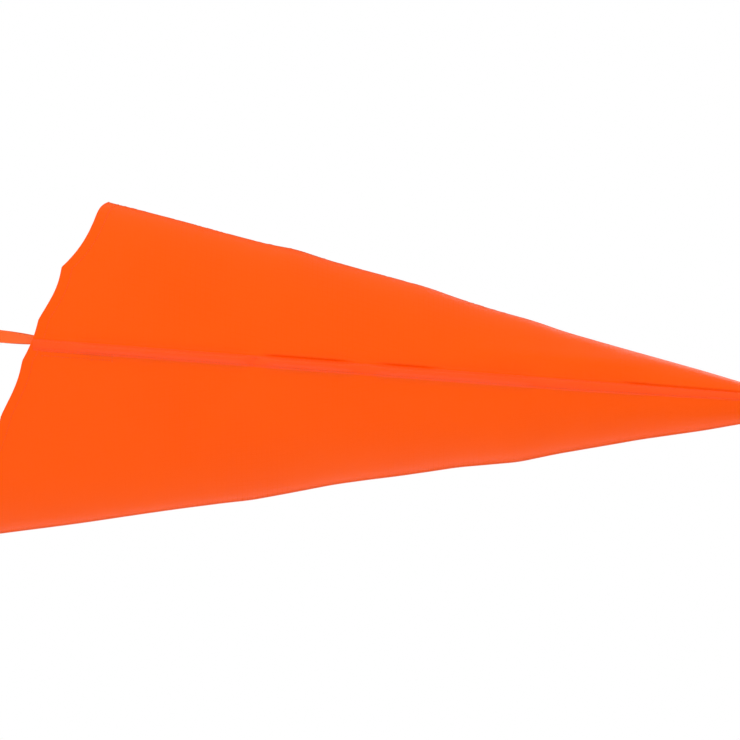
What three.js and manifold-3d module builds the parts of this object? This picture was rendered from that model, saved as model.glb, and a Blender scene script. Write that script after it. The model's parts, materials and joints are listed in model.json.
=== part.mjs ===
// A portable windsock on a telescopic pole, standing on a steel base plate.
//
// Millimetres, +Z up. The origin is the middle of the underside of the rubber mat, on the pole's axis.
// +X is downwind: the sock streams towards +X from a boom at the pole's head. -Y is the near side.
import * as THREE from "three";
import { LoftGeometry } from "three/addons/geometries/LoftGeometry.js";
import { mergeVertices } from "three/addons/utils/BufferGeometryUtils.js";
import Module from "manifold-3d";

const wasm = await Module();
wasm.setup();

// ---------------------------------------------------------------- driving dimensions

const GAP = 0.3; // left between pieces that touch
const ROUND = 24; // sides of a tube or a large turned part
const SMALL_ROUND = 16; // sides of a bolt, pin or small ring

// Base plate and socket
const MAT = { side: 300, thick: 2.5, corner: 20 };
const PLATE = { side: 400, thick: 6, corner: 28, pegSpacing: 340, pegHole: 11 };
const FLANGE = { radius: 55, thick: 6, boltCircle: 42, boltRadius: 4 };
const SOCKET = { outer: 21, inner: 16.5, height: 126 };
const KNOB_HEIGHT = 100;

// Pole: three tubes that slide in each other
const WALL = 1.5;
const LOWER = { radius: 16, bottom: 13.4, top: 714 };
const MID = { radius: 14, bottom: 604, top: 1264 };
const TOP = { radius: 12, bottom: 1154, top: 1815 };
const PLUG = { collar: 11.7, spigot: 16 };

// Swivel head
const SPINDLE_RADIUS = 4;
const BEARING = { bore: 4.3, innerLand: 5.9, outerLand: 9.1, outer: 11, width: 7, ball: 1.3, balls: 7 };
const LOWER_BEARING_Z = 1824;
const UPPER_BEARING_Z = 1856;
const HEAD = { radius: 17, skirtBottom: 1818, top: 1878 };
const BOOM = { radius: 3, start: 12.5, eyeRadius: 9 };

// The droop hinge: the middle of the boom's eye. The sock is set out from here.
const HINGE = new THREE.Vector3(205, 0, 1843.5);
const LINE_SLOPE = 0.11; // how far the taut bridle falls for each unit that it runs downwind

// Sock, as distances from the hinge, downwind and up. The mouth is cut on the slant.
const TOP_EDGE = { start: [372, 105], end: [1048, -87], bow: 4 };
const LOW_EDGE = { start: [222, -232], end: [1048, -110], bow: -2.5 };
const SEAM = { start: [300, -33], end: [1048, -89.6], bow: 0 };
const MOUTH_BULGE = 5; // how far the slanting mouth bows out upwind of a straight cut
const MOUTH_DEPTH = 0.4; // depth over height of the mouth, which the two straps draw flat
const SEAM_SHARPNESS = 1.4; // 2 is an ellipse, and less draws the sides out to a ridge
const SCALLOPS = { above: 2, below: 3, depth: 4 }; // between a seam and the top or the bottom
const CLOTH = 1.2;
const HEM = { mouth: 12, tail: 10, thick: 2, clear: 1.5 };
const STRAP = { width: 13, thick: 1.4, sewnLength: 80, joinStart: 84, joinEnd: 100, clear: -4 };
const TAPE = { width: 10, thick: 0.8, clear: 1.4 };

// ---------------------------------------------------------------- finishes

const finish = (color, roughness, metalness = 0) =>
  new THREE.MeshStandardMaterial({ color, roughness, metalness });
const orangeCloth = finish(0xfd580a, 0.55);
const orangeWebbing = finish(0xf7600e, 0.8);
const aluminium = finish(0xb9bdc1, 0.35, 1);
const steel = finish(0xa7a9ab, 0.3, 1);
const darkPaint = finish(0x2a2c2e, 0.6, 0.2);
const blackPlastic = finish(0x17181a, 0.5);
const rubber = finish(0x101010, 0.9);

// ---------------------------------------------------------------- tools for making shapes

const windsock = new THREE.Group();

function add(name, geometry, material, parent = windsock) {
  const mesh = new THREE.Mesh(geometry, material);
  mesh.name = name;
  parent.add(mesh);
  return mesh;
}

// A closed geometry as a solid that can be joined and cut.
function solid(geometry) {
  const bare = geometry.clone();
  bare.deleteAttribute("normal");
  bare.deleteAttribute("uv");
  const merged = mergeVertices(bare, 1e-3);
  return new wasm.Manifold(
    new wasm.Mesh({
      numProp: 3,
      vertProperties: merged.attributes.position.array,
      triVerts: new Uint32Array(merged.index.array),
    }),
  );
}

function geometryOf(body) {
  const { numProp, vertProperties, triVerts } = body.getMesh();
  const count = vertProperties.length / numProp;
  const points = new Float32Array(count * 3);
  for (let i = 0; i < count; i++) {
    points.set(vertProperties.subarray(i * numProp, i * numProp + 3), i * 3);
  }
  return new THREE.BufferGeometry()
    .setAttribute("position", new THREE.BufferAttribute(points, 3))
    .setIndex(new THREE.BufferAttribute(triVerts, 1));
}

// The first geometry with the others joined to it, or cut out of it.
const join = (...shapes) => geometryOf(shapes.map(solid).reduce((a, b) => a.add(b)));
const cut = (from, ...shapes) =>
  geometryOf(shapes.map(solid).reduce((a, b) => a.subtract(b), solid(from)));

// A turned part on the Z axis. The profile holds [radius, height] points: out along the bottom, up
// the outside, and back along the top.
function turned(profile, sides = ROUND) {
  const points = profile.map(([radius, height]) => new THREE.Vector2(radius, height));
  return new THREE.LatheGeometry(points, sides).rotateX(Math.PI / 2);
}

function ring(inner, outer, bottom, top, sides = ROUND) {
  return turned([[inner, bottom], [outer, bottom], [outer, top], [inner, top], [inner, bottom]], sides);
}

function disc(radius, bottom, top, sides = ROUND) {
  return turned([[0, bottom], [radius, bottom], [radius, top], [0, top]], sides);
}

// A round bar from one height to another, laid along +X or +Y instead of +Z.
const alongX = (geometry) => geometry.rotateY(Math.PI / 2);
const alongY = (geometry) => geometry.rotateX(-Math.PI / 2);

function hexPrism(acrossFlats, bottom, top) {
  const corner = acrossFlats / Math.sqrt(3);
  return disc(corner, bottom, top, 6);
}

function roundedSquare(side, corner) {
  const half = side / 2;
  const shape = new THREE.Shape();
  const corners = [[1, -1, -90], [1, 1, 0], [-1, 1, 90], [-1, -1, 180]];
  for (const [x, y, from] of corners) {
    const start = THREE.MathUtils.degToRad(from);
    shape.absarc(x * (half - corner), y * (half - corner), corner, start, start + Math.PI / 2);
  }
  shape.closePath();
  return shape;
}

function circle(x, y, radius) {
  return new THREE.Path().absarc(x, y, radius, 0, 2 * Math.PI, true);
}

// A round wire along a curve.
function wire(curve, radius, steps, sides = 8) {
  const section = new THREE.Shape().absarc(0, 0, radius, 0, 2 * Math.PI, false);
  return new THREE.ExtrudeGeometry(section, { steps, extrudePath: curve, curveSegments: sides / 2 });
}

// Four corners at a, b, c and d steps: a flat strip's section, wide along one way and thick along another.
function stripSection(middle, across, outward, width, thick) {
  const corner = (side, face) =>
    middle.clone().addScaledVector(across, (side * width) / 2).addScaledVector(outward, (face * thick) / 2);
  return [corner(-1, -1), corner(-1, 1), corner(1, 1), corner(1, -1)];
}

function strip(sections) {
  return new LoftGeometry(sections, { capStart: true, capEnd: true });
}

// ---------------------------------------------------------------- base

const plateBottom = MAT.thick + GAP;
const plateTop = plateBottom + PLATE.thick;
const flangeBottom = plateTop + GAP;
const flangeTop = flangeBottom + FLANGE.thick;
const quarterTurns = [0, 1, 2, 3].map((i) => (i * Math.PI) / 2);
const atAngle = (radius, angle) => [radius * Math.cos(angle), radius * Math.sin(angle)];

function baseMat() {
  const shape = roundedSquare(MAT.side, MAT.corner);
  return new THREE.ExtrudeGeometry(shape, { depth: MAT.thick, bevelEnabled: false, curveSegments: 6 });
}

// A steel slab with a peg hole at each corner, outside the mat, and the flange's bolt holes.
function basePlate() {
  const shape = roundedSquare(PLATE.side, PLATE.corner);
  for (const [x, y] of [[-1, -1], [1, -1], [1, 1], [-1, 1]]) {
    const reach = PLATE.pegSpacing / 2;
    shape.holes.push(circle(x * reach, y * reach, PLATE.pegHole / 2));
  }
  for (const angle of quarterTurns) {
    const [x, y] = atAngle(FLANGE.boltCircle, angle);
    shape.holes.push(circle(x, y, FLANGE.boltRadius + GAP));
  }
  const slab = new THREE.ExtrudeGeometry(shape, { depth: PLATE.thick, bevelEnabled: false, curveSegments: 14 });
  return slab.translate(0, 0, plateBottom);
}

// A turned flange and tube, with four ribs, bolt holes and a threaded boss for the clamp screw.
function poleSocket() {
  const body = turned([
    [SOCKET.inner, flangeBottom],
    [FLANGE.radius, flangeBottom],
    [FLANGE.radius, flangeTop],
    [SOCKET.outer, flangeTop],
    [SOCKET.outer, flangeBottom + SOCKET.height],
    [SOCKET.inner, flangeBottom + SOCKET.height],
    [SOCKET.inner, flangeBottom],
  ]);
  const boss = alongY(disc(10, -34, -SOCKET.outer + 1.5, SMALL_ROUND)).translate(0, 0, KNOB_HEIGHT);
  const ribShape = new THREE.Shape([
    new THREE.Vector2(SOCKET.outer - 2, 0),
    new THREE.Vector2(FLANGE.radius - 6, 0),
    new THREE.Vector2(SOCKET.outer - 2, 46),
  ]);
  const ribs = quarterTurns.map((angle) =>
    new THREE.ExtrudeGeometry(ribShape, { depth: 5, bevelEnabled: false })
      .translate(0, 0, -2.5)
      .rotateX(Math.PI / 2)
      .translate(0, 0, flangeTop - 0.5)
      .rotateZ(angle + Math.PI / 4),
  );
  const boltHoles = quarterTurns.map((angle) => {
    const [x, y] = atAngle(FLANGE.boltCircle, angle);
    return disc(FLANGE.boltRadius + GAP, flangeBottom - 1, flangeTop + 1, SMALL_ROUND).translate(x, y, 0);
  });
  const screwHole = alongY(disc(4 + GAP, -36, 0, SMALL_ROUND)).translate(0, 0, KNOB_HEIGHT);
  const whole = join(body, boss, ...ribs);
  return cut(whole, screwHole, ...boltHoles);
}

function flangeBolt() {
  const head = hexPrism(13, flangeTop + 2, flangeTop + 8);
  const washerFace = disc(8.5, flangeTop + GAP, flangeTop + 2.3, SMALL_ROUND);
  const shank = disc(FLANGE.boltRadius, plateBottom + 0.5, flangeTop + 1, SMALL_ROUND);
  return join(washerFace, head, shank);
}

// A five-lobed hand knob that turns about the Y axis, with a blind hole for its screw.
function knobHandle() {
  const lobes = 5;
  const outline = [];
  for (let i = 0; i < lobes * 10; i++) {
    const angle = (i / (lobes * 10)) * 2 * Math.PI;
    const [x, y] = atAngle(18 + 3 * Math.cos(lobes * angle), angle);
    outline.push(new THREE.Vector2(x, y));
  }
  const grip = new THREE.ExtrudeGeometry(new THREE.Shape(outline), {
    depth: 11,
    bevelSize: 1.5,
    bevelThickness: 1.5,
    bevelOffset: -1.5,
    bevelSegments: 1,
  }).translate(0, 0, -58.5);
  const hub = disc(8.5, -47, -39, SMALL_ROUND);
  const hole = disc(4 + GAP, -53, -30, SMALL_ROUND);
  return alongY(cut(join(grip, hub), hole)).translate(0, 0, KNOB_HEIGHT);
}

function knobScrew() {
  const tip = LOWER.radius + 0.4;
  return alongY(disc(4, -52.5, -tip, SMALL_ROUND)).translate(0, 0, KNOB_HEIGHT);
}

add("base_mat", baseMat(), rubber);
add("base_plate", basePlate(), darkPaint);
add("pole_socket", poleSocket(), darkPaint);
quarterTurns.forEach((angle, i) => {
  const [x, y] = atAngle(FLANGE.boltCircle, angle);
  add(`flange_bolt_${i + 1}`, flangeBolt(), steel).position.set(x, y, 0);
});
add("knob_handle", knobHandle(), blackPlastic);
add("knob_screw", knobScrew(), steel);

// ---------------------------------------------------------------- pole tubes and their plugs

const tube = ({ radius, bottom, top }) => ring(radius - WALL, radius, bottom, top);

// A guide plug at a tube's lower end: a collar that runs in the tube outside, and a hollow spigot.
function endPlug({ radius, bottom }) {
  const spigot = radius - WALL - GAP;
  const collar = radius + 0.2;
  return turned([
    [0, bottom - PLUG.collar - GAP],
    [collar, bottom - PLUG.collar - GAP],
    [collar, bottom - GAP],
    [spigot, bottom - GAP],
    [spigot, bottom + PLUG.spigot],
    [spigot - 2, bottom + PLUG.spigot],
    [spigot - 2, bottom - GAP],
    [0, bottom - GAP],
  ]);
}

function footPlug() {
  const spigot = LOWER.radius - WALL - GAP;
  const sole = LOWER.bottom - GAP;
  return turned([
    [0, flangeBottom],
    [LOWER.radius, flangeBottom],
    [LOWER.radius, sole],
    [spigot, sole],
    [spigot, sole + 20],
    [spigot - 2.5, sole + 20],
    [spigot - 2.5, sole],
    [0, sole],
  ]);
}

add("foot_plug", footPlug(), blackPlastic);
add("lower_tube", tube(LOWER), aluminium);
add("mid_plug", endPlug(MID), blackPlastic);
add("mid_tube", tube(MID), aluminium);
add("top_plug", endPlug(TOP), blackPlastic);
add("top_tube", tube(TOP), aluminium);

// ---------------------------------------------------------------- flip locks

// A lock clamps the mouth of an outer tube on the tube inside it. Its collar is slit towards -Y
// between two lugs. A bolt crosses the lugs: a nut on its +X end, and on its -X end an upright
// barrel, which is the lever's pivot.
const LOCK = { below: 30, above: 6, wall: 6, lugReach: 15, lugThick: 8, slit: 3 };
const BARREL = { radius: 3.6, length: 22, eye: 6.4 };

function lockFrame(outer, inner) {
  const collar = outer.radius + LOCK.wall;
  const middle = outer.top - LOCK.below / 2 + LOCK.above / 2;
  const pivotX = -(LOCK.slit / 2 + LOCK.lugThick + BARREL.eye + 0.5);
  return { outer, inner, collar, middle, pivotX, pivotY: -(collar + 6) };
}

function lockCollar({ outer, inner, collar, middle, pivotY }) {
  const bottom = outer.top - LOCK.below;
  const top = outer.top + LOCK.above;
  const body = turned([
    [outer.radius + GAP, bottom],
    [collar - 1, bottom],
    [collar, bottom + 1.5],
    [collar, top - 3],
    [collar - 2, top],
    [inner.radius + GAP, top],
    [inner.radius + GAP, outer.top + GAP],
    [outer.radius + GAP, outer.top + GAP],
    [outer.radius + GAP, bottom],
  ]);
  const lugWidth = LOCK.slit + 2 * LOCK.lugThick;
  const lugs = new THREE.BoxGeometry(lugWidth, LOCK.lugReach + 4, 24).translate(
    0,
    -(collar - 4) - (LOCK.lugReach + 4) / 2 + 2,
    middle,
  );
  const clearBore = disc(outer.radius + GAP, bottom - 1, outer.top + GAP);
  const slit = new THREE.BoxGeometry(LOCK.slit, collar + 20, 60).translate(0, -(collar + 20) / 2 - 8, middle);
  const boltHole = alongX(disc(2.8, -20, 20, SMALL_ROUND)).translate(0, pivotY, middle);
  return cut(join(body, lugs), clearBore, slit, boltHole);
}

function lockBarrel({ middle, pivotX, pivotY }) {
  const pin = disc(BARREL.radius, middle - BARREL.length / 2, middle + BARREL.length / 2, SMALL_ROUND);
  const socket = alongX(disc(2.5 + GAP, 0, 10, SMALL_ROUND)).translate(-1, 0, middle);
  return cut(pin, socket).translate(pivotX, pivotY, 0);
}

function lockBolt({ middle, pivotX, pivotY }) {
  const end = LOCK.slit / 2 + LOCK.lugThick + 6;
  return alongX(disc(2.5, pivotX - 0.6, end, SMALL_ROUND)).translate(0, pivotY, middle);
}

function lockNut({ middle, pivotY }) {
  const face = LOCK.slit / 2 + LOCK.lugThick + GAP;
  const nut = cut(hexPrism(8, face, face + 4), disc(2.5 + GAP, face - 1, face + 5, SMALL_ROUND));
  return alongX(nut).translate(0, pivotY, middle);
}

// Two eyes round the barrel, clear of the bolt between them, and a grip that hugs the collar.
function lockLever({ collar, middle, pivotX, pivotY }) {
  const inner = collar + 1.2;
  const outer = inner + 4;
  const from = THREE.MathUtils.degToRad(70);
  const to = Math.atan2(pivotY, pivotX) + 2 * Math.PI;
  const grip = new THREE.Shape()
    .absarc(0, 0, outer, from, to, false)
    .absarc(0, 0, inner, to, from, true)
    .closePath();
  const arc = new THREE.ExtrudeGeometry(grip, { depth: 20, bevelEnabled: false, curveSegments: 14 });
  arc.translate(0, 0, middle - 10);
  const eye = disc(BARREL.eye, middle - 10, middle + 10, SMALL_ROUND).translate(pivotX, pivotY, 0);
  const tip = disc(3.4, middle - 10, middle + 10, 12).translate(...atAngle((inner + outer) / 2 + 1, from), 0);
  const bore = disc(BARREL.radius + GAP, middle - 15, middle + 15, SMALL_ROUND).translate(pivotX, pivotY, 0);
  const boltSpace = disc(9, middle - 3.5, middle + 3.5, SMALL_ROUND).translate(pivotX, pivotY, 0);
  const collarSpace = disc(collar + 0.6, middle - 15, middle + 15);
  return cut(join(arc, eye, tip), bore, boltSpace, collarSpace);
}

function addLock(name, outer, inner) {
  const lock = lockFrame(outer, inner);
  add(`${name}_lock_collar`, lockCollar(lock), blackPlastic);
  add(`${name}_lock_barrel`, lockBarrel(lock), steel);
  add(`${name}_lock_bolt`, lockBolt(lock), steel);
  add(`${name}_lock_nut`, lockNut(lock), steel);
  add(`${name}_lock_lever`, lockLever(lock), blackPlastic);
}

addLock("lower", LOWER, MID);
addLock("upper", MID, TOP);

// ---------------------------------------------------------------- swivel head

function headPlug() {
  const spigot = TOP.radius - WALL - GAP;
  const seat = LOWER_BEARING_Z - GAP;
  return turned([
    [SPINDLE_RADIUS + GAP, TOP.top - 30],
    [spigot, TOP.top - 30],
    [spigot, TOP.top + GAP],
    [TOP.radius + 1, TOP.top + GAP],
    [TOP.radius + 1, seat - 2.4],
    [6, seat - 2.4],
    [6, seat],
    [SPINDLE_RADIUS + GAP, seat],
    [SPINDLE_RADIUS + GAP, TOP.top - 30],
  ]);
}

// The cage ring and its balls, which roll between the races.
function ballCage(bottom) {
  const pitch = (BEARING.innerLand + BEARING.outerLand) / 2;
  const middle = bottom + BEARING.width / 2;
  const balls = [];
  for (let i = 0; i < BEARING.balls; i++) {
    const [x, y] = atAngle(pitch, (i / BEARING.balls) * 2 * Math.PI);
    balls.push(new THREE.SphereGeometry(BEARING.ball, 6, 4).translate(x, y, middle));
  }
  return join(ring(pitch - 0.5, pitch + 0.5, middle - 0.8, middle + 0.8, SMALL_ROUND), ...balls);
}

function headHousing() {
  const lowSeat = LOWER_BEARING_Z + BEARING.width + GAP;
  const highSeat = UPPER_BEARING_Z - GAP;
  const bore = BEARING.outer + GAP;
  const body = turned([
    [TOP.radius + 1.6, HEAD.skirtBottom],
    [HEAD.radius - 1, HEAD.skirtBottom],
    [HEAD.radius, HEAD.skirtBottom + 2],
    [HEAD.radius, HEAD.top],
    [bore, HEAD.top],
    [bore, highSeat],
    [9.6, highSeat],
    [9.6, lowSeat],
    [bore, lowSeat],
    [bore, LOWER_BEARING_Z - 0.5],
    [TOP.radius + 1.6, LOWER_BEARING_Z - 0.5],
    [TOP.radius + 1.6, HEAD.skirtBottom],
  ]);
  const boss = alongX(turned([[0, 13], [9, 13], [9, 36], [7.5, 38], [0, 38]], SMALL_ROUND)).translate(0, 0, HINGE.z);
  const boomBore = alongX(disc(BOOM.radius + 0.4, 12, 40, SMALL_ROUND)).translate(0, 0, HINGE.z);
  const screwHoles = GRUB_SCREWS.map((x) => disc(2.5 + GAP, HINGE.z, HINGE.z + 12, 12).translate(x, 0, 0));
  return cut(join(body, boss), boomBore, ...screwHoles);
}

const GRUB_SCREWS = [23, 31];

function dustCap() {
  return turned([
    [9, HEAD.top - 4],
    [BEARING.outer, HEAD.top - 4],
    [BEARING.outer, HEAD.top + GAP],
    [HEAD.radius, HEAD.top + GAP],
    [HEAD.radius, HEAD.top + 4],
    [HEAD.radius - 2.5, HEAD.top + 8],
    [HEAD.radius - 8, HEAD.top + 11],
    [0, HEAD.top + 12.5],
    [0, HEAD.top + 8],
    [9, HEAD.top + 5],
    [9, HEAD.top - 4],
  ]);
}

function boom() {
  const rod = alongX(disc(BOOM.radius, BOOM.start, HINGE.x - BOOM.eyeRadius, 16));
  const eye = new THREE.TorusGeometry(BOOM.eyeRadius, BOOM.radius, 8, 20).rotateX(Math.PI / 2);
  return join(rod.translate(0, 0, HINGE.z), eye.translate(HINGE.x, 0, HINGE.z));
}

const spacerBottom = LOWER_BEARING_Z + BEARING.width + GAP;
const washerBottom = UPPER_BEARING_Z + BEARING.width + GAP;
const nutBottom = washerBottom + 1.3 + GAP;
add("head_plug", headPlug(), aluminium);
add("spindle", disc(SPINDLE_RADIUS, TOP.top - 28, nutBottom + 10, SMALL_ROUND), steel);
for (const [name, bottom] of [["lower", LOWER_BEARING_Z], ["upper", UPPER_BEARING_Z]]) {
  const top = bottom + BEARING.width;
  add(`${name}_bearing_inner`, ring(BEARING.bore, BEARING.innerLand, bottom, top, SMALL_ROUND), steel);
  add(`${name}_bearing_outer`, ring(BEARING.outerLand, BEARING.outer, bottom, top, SMALL_ROUND), steel);
  add(`${name}_ball_cage`, ballCage(bottom), steel);
}
add("bearing_spacer", ring(BEARING.bore, 5.7, spacerBottom, UPPER_BEARING_Z - GAP, SMALL_ROUND), aluminium);
add("retaining_washer", ring(BEARING.bore, 5.8, washerBottom, washerBottom + 1.3, SMALL_ROUND), steel);
add(
  "spindle_nut",
  cut(hexPrism(13, nutBottom, nutBottom + 8), disc(BEARING.bore, nutBottom - 1, nutBottom + 9, SMALL_ROUND)),
  steel,
);
add("head_housing", headHousing(), aluminium);
add("dust_cap", dustCap(), blackPlastic);
add("boom", boom(), steel);
GRUB_SCREWS.forEach((x, i) => {
  const foot = HINGE.z + BOOM.radius + GAP;
  add(`grub_screw_${i + 1}`, disc(2.5, foot, foot + 5, 12), steel).position.x = x;
});

// ---------------------------------------------------------------- snap hook and swivel

// These lie on the taut bridle's line, so they share a frame that starts at the hinge and has its
// x axis along the line. The hook's loop is flat in that frame's x and y.
const bridleLine = new THREE.Group();
bridleLine.position.copy(HINGE);
bridleLine.rotation.y = Math.atan(LINE_SLOPE);
windsock.add(bridleLine);

const HOOK = { wire: 2, halfWidth: 8, nose: 11.6, tail: 34, gateStart: 15.6, gateEnd: 33, pivot: 30.6 };
const BARREL_X = { start: 42.5, end: 55, radius: 4.5 };
const BAIL = { wire: 2, stemEnd: 60, bar: 76, halfWidth: 10 };

const at = (x, y, z = 0) => new THREE.Vector3(x, y, z);

function snapHook() {
  const loop = new THREE.CurvePath();
  const arcPoint = (centre, from) => (angle) =>
    at(centre + HOOK.halfWidth * Math.cos(from + angle), HOOK.halfWidth * Math.sin(from + angle));
  const noseArc = arcPoint(HOOK.nose, 1.5 * Math.PI);
  const tailArc = arcPoint(HOOK.tail, 0.5 * Math.PI);
  const points = [at(HOOK.gateStart - 0.6, -HOOK.halfWidth)];
  for (let i = 0; i <= 8; i++) points.push(noseArc((-i / 8) * Math.PI));
  for (let i = 0; i <= 8; i++) points.push(tailArc((-i / 8) * Math.PI));
  points.push(at(HOOK.gateEnd + 0.4, -HOOK.halfWidth));
  loop.add(new THREE.CatmullRomCurve3(points, false, "centripetal"));
  const frame = wire(loop, HOOK.wire, 26);
  const cheeks = [-1, 1].map((side) =>
    new THREE.BoxGeometry(7, 4, 1.4).translate(HOOK.pivot + 1.8, -HOOK.halfWidth, side * 2.9),
  );
  const bridge = new THREE.BoxGeometry(2, 4, 7).translate(HOOK.gateEnd + 1.8, -HOOK.halfWidth, 0);
  const barrel = alongX(disc(BARREL_X.radius, BARREL_X.start, BARREL_X.end, SMALL_ROUND));
  const chamber = alongX(
    turned([[0, 46], [3.6, 46], [3.6, 52.5], [2.4, 52.5], [2.4, 57], [0, 57]], SMALL_ROUND),
  );
  const pinHole = disc(1.1, -6, 6, 12).translate(HOOK.pivot, -HOOK.halfWidth, 0);
  return cut(join(frame, ...cheeks, bridge, barrel), chamber, pinHole);
}

function hookGate() {
  const bar = alongX(disc(1.8, HOOK.gateStart, HOOK.gateEnd - 0.6, 14)).translate(0, -HOOK.halfWidth, 0);
  return cut(bar, disc(1.1, -6, 6, 12).translate(HOOK.pivot, -HOOK.halfWidth, 0));
}

function swivelBail() {
  const stem = alongX(
    turned([[0, 47], [3.2, 47], [3.2, 50], [2, 50], [2, BAIL.stemEnd + 1], [0, BAIL.stemEnd + 1]], SMALL_ROUND),
  );
  const bow = [at(BAIL.bar, 0, -BAIL.halfWidth)];
  for (let i = 0; i <= 10; i++) {
    const angle = -Math.PI / 2 - (i / 10) * Math.PI;
    bow.push(at(70 + BAIL.halfWidth * Math.cos(angle), 0, BAIL.halfWidth * Math.sin(angle)));
  }
  bow.push(at(BAIL.bar, 0, BAIL.halfWidth));
  const loop = wire(new THREE.CatmullRomCurve3(bow, false, "centripetal"), BAIL.wire, 18);
  const reach = BAIL.halfWidth + BAIL.wire;
  const bar = disc(BAIL.wire, -reach, reach, 14).translate(BAIL.bar, 0, 0);
  return join(stem, loop, bar);
}

add("snap_hook", snapHook(), steel, bridleLine);
add("hook_gate", hookGate(), steel, bridleLine);
add("gate_pin", disc(0.8, -3.8, 3.8, 12).translate(HOOK.pivot, -HOOK.halfWidth, 0), steel, bridleLine);
add("swivel_bail", swivelBail(), steel, bridleLine);

// ---------------------------------------------------------------- sock

// The sock is set out from the hinge, level with the ground. A point on it is given by its
// distance downwind and an angle round it: 0 on the near side, a quarter turn at the top.
const sock = new THREE.Group();
sock.position.copy(HINGE);
windsock.add(sock);

// The height of an edge of the side view, which bows out a little between its ends.
function along({ start, end, bow }, x) {
  const share = (x - start[0]) / (end[0] - start[0]);
  return THREE.MathUtils.lerp(start[1], end[1], share) + 4 * bow * share * (1 - share);
}

const TAIL = TOP_EDGE.end[0];

// The section's widest line starts on the seam and comes down to mid height by the tail.
function sectionAt(x) {
  const high = along(TOP_EDGE, x);
  const low = along(LOW_EDGE, x);
  const share = THREE.MathUtils.clamp((x - SEAM.start[0]) / (TAIL - SEAM.start[0]), 0, 1);
  const settled = share ** 2;
  const widest = THREE.MathUtils.lerp(along(SEAM, x), (high + low) / 2, settled);
  return {
    widest,
    up: high - widest,
    down: widest - low,
    depth: ((high - low) / 2) * THREE.MathUtils.lerp(MOUTH_DEPTH, 1, settled),
    sharpness: THREE.MathUtils.lerp(SEAM_SHARPNESS, 2, settled),
  };
}

const signedPower = (value, power) => Math.sign(value) * Math.abs(value) ** power;

// The point on the sock's skin, and the way out of it across the section.
function skin(x, angle, inset = 0) {
  const { widest, up, down, depth, sharpness } = sectionAt(x);
  const point = (turn) => {
    const rise = signedPower(Math.sin(turn), 2 / sharpness);
    return [-depth * Math.cos(turn), rise * (rise > 0 ? up : down)];
  };
  const step = 0.02;
  const [y0, z0] = point(angle - step);
  const [y1, z1] = point(angle + step);
  const length = Math.hypot(y1 - y0, z1 - z0);
  const outward = at(0, -(z1 - z0) / length, (y1 - y0) / length);
  const [y, z] = point(angle);
  return { point: at(x, y, widest + z).addScaledVector(outward, -inset), outward };
}

// The seam's angle at a place along the sock. It climbs towards the tail.
function seamAngle(x) {
  const { widest, up, sharpness } = sectionAt(x);
  return Math.asin(Math.max(0, (along(SEAM, x) - widest) / up) ** (sharpness / 2));
}

// Where the mouth's slanting, scalloped edge lies at an angle round the sock.
function mouthAt(angle) {
  const [topX, topZ] = TOP_EDGE.start;
  const [lowX, lowZ] = LOW_EDGE.start;
  let x = (topX + lowX) / 2;
  for (let i = 0; i < 12; i++) {
    const { z } = skin(x, angle).point;
    const share = THREE.MathUtils.clamp((z - lowZ) / (topZ - lowZ), 0, 1);
    const { widest, up, down } = sectionAt(x);
    const turns = z > widest ? (SCALLOPS.above * (z - widest)) / up : (SCALLOPS.below * (widest - z)) / down;
    const scallop = SCALLOPS.depth * (Math.abs(Math.sin(Math.PI * turns)) - 0.5);
    x = THREE.MathUtils.lerp(lowX, topX, share) - 4 * MOUTH_BULGE * share * (1 - share) + scallop;
  }
  return x;
}

// How far back a share of the way from the mouth's hem to the tail's is.
const betweenHems = (angle, share) =>
  THREE.MathUtils.lerp(mouthAt(angle) + HEM.mouth + HEM.clear, TAIL - HEM.tail - GAP, share);

// One cloth panel, from seam to seam over the top or under the bottom. Each section runs along the
// outside from the mouth's hem to the tail's, and back along the inside.
function panel(upper) {
  const rows = 9;
  const columns = 24;
  const sections = [];
  for (let column = 0; column <= columns; column++) {
    const across = column / columns;
    const outside = [];
    const inside = [];
    for (let row = 0; row <= rows; row++) {
      const about = betweenHems(Math.PI * (upper ? across : across - 1), row / rows);
      const { up, down, depth } = sectionAt(about);
      const seam = seamAngle(about);
      const slack = 0.5 / Math.min(up, down, depth) + 0.004;
      const [from, to] = upper ? [seam + slack, Math.PI - seam - slack] : [slack - seam - Math.PI, seam - slack];
      const angle = THREE.MathUtils.lerp(from, to, across);
      const x = betweenHems(angle, row / rows);
      outside.push(skin(x, angle).point);
      inside.unshift(skin(x, angle, CLOTH).point);
    }
    sections.push([...outside, ...inside]);
  }
  return strip(sections);
}

// A hem band: a ring of small rectangles round the sock, from one setback to another.
function hem(edgeAt, columns) {
  const sections = [];
  for (let column = 0; column <= columns; column++) {
    const angle = (column / columns) * 2 * Math.PI;
    const [front, back] = edgeAt(angle);
    sections.push([
      skin(front, angle).point,
      skin(back, angle).point,
      skin(back, angle, HEM.thick).point,
      skin(front, angle, HEM.thick).point,
    ]);
  }
  return new LoftGeometry(sections);
}

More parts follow.
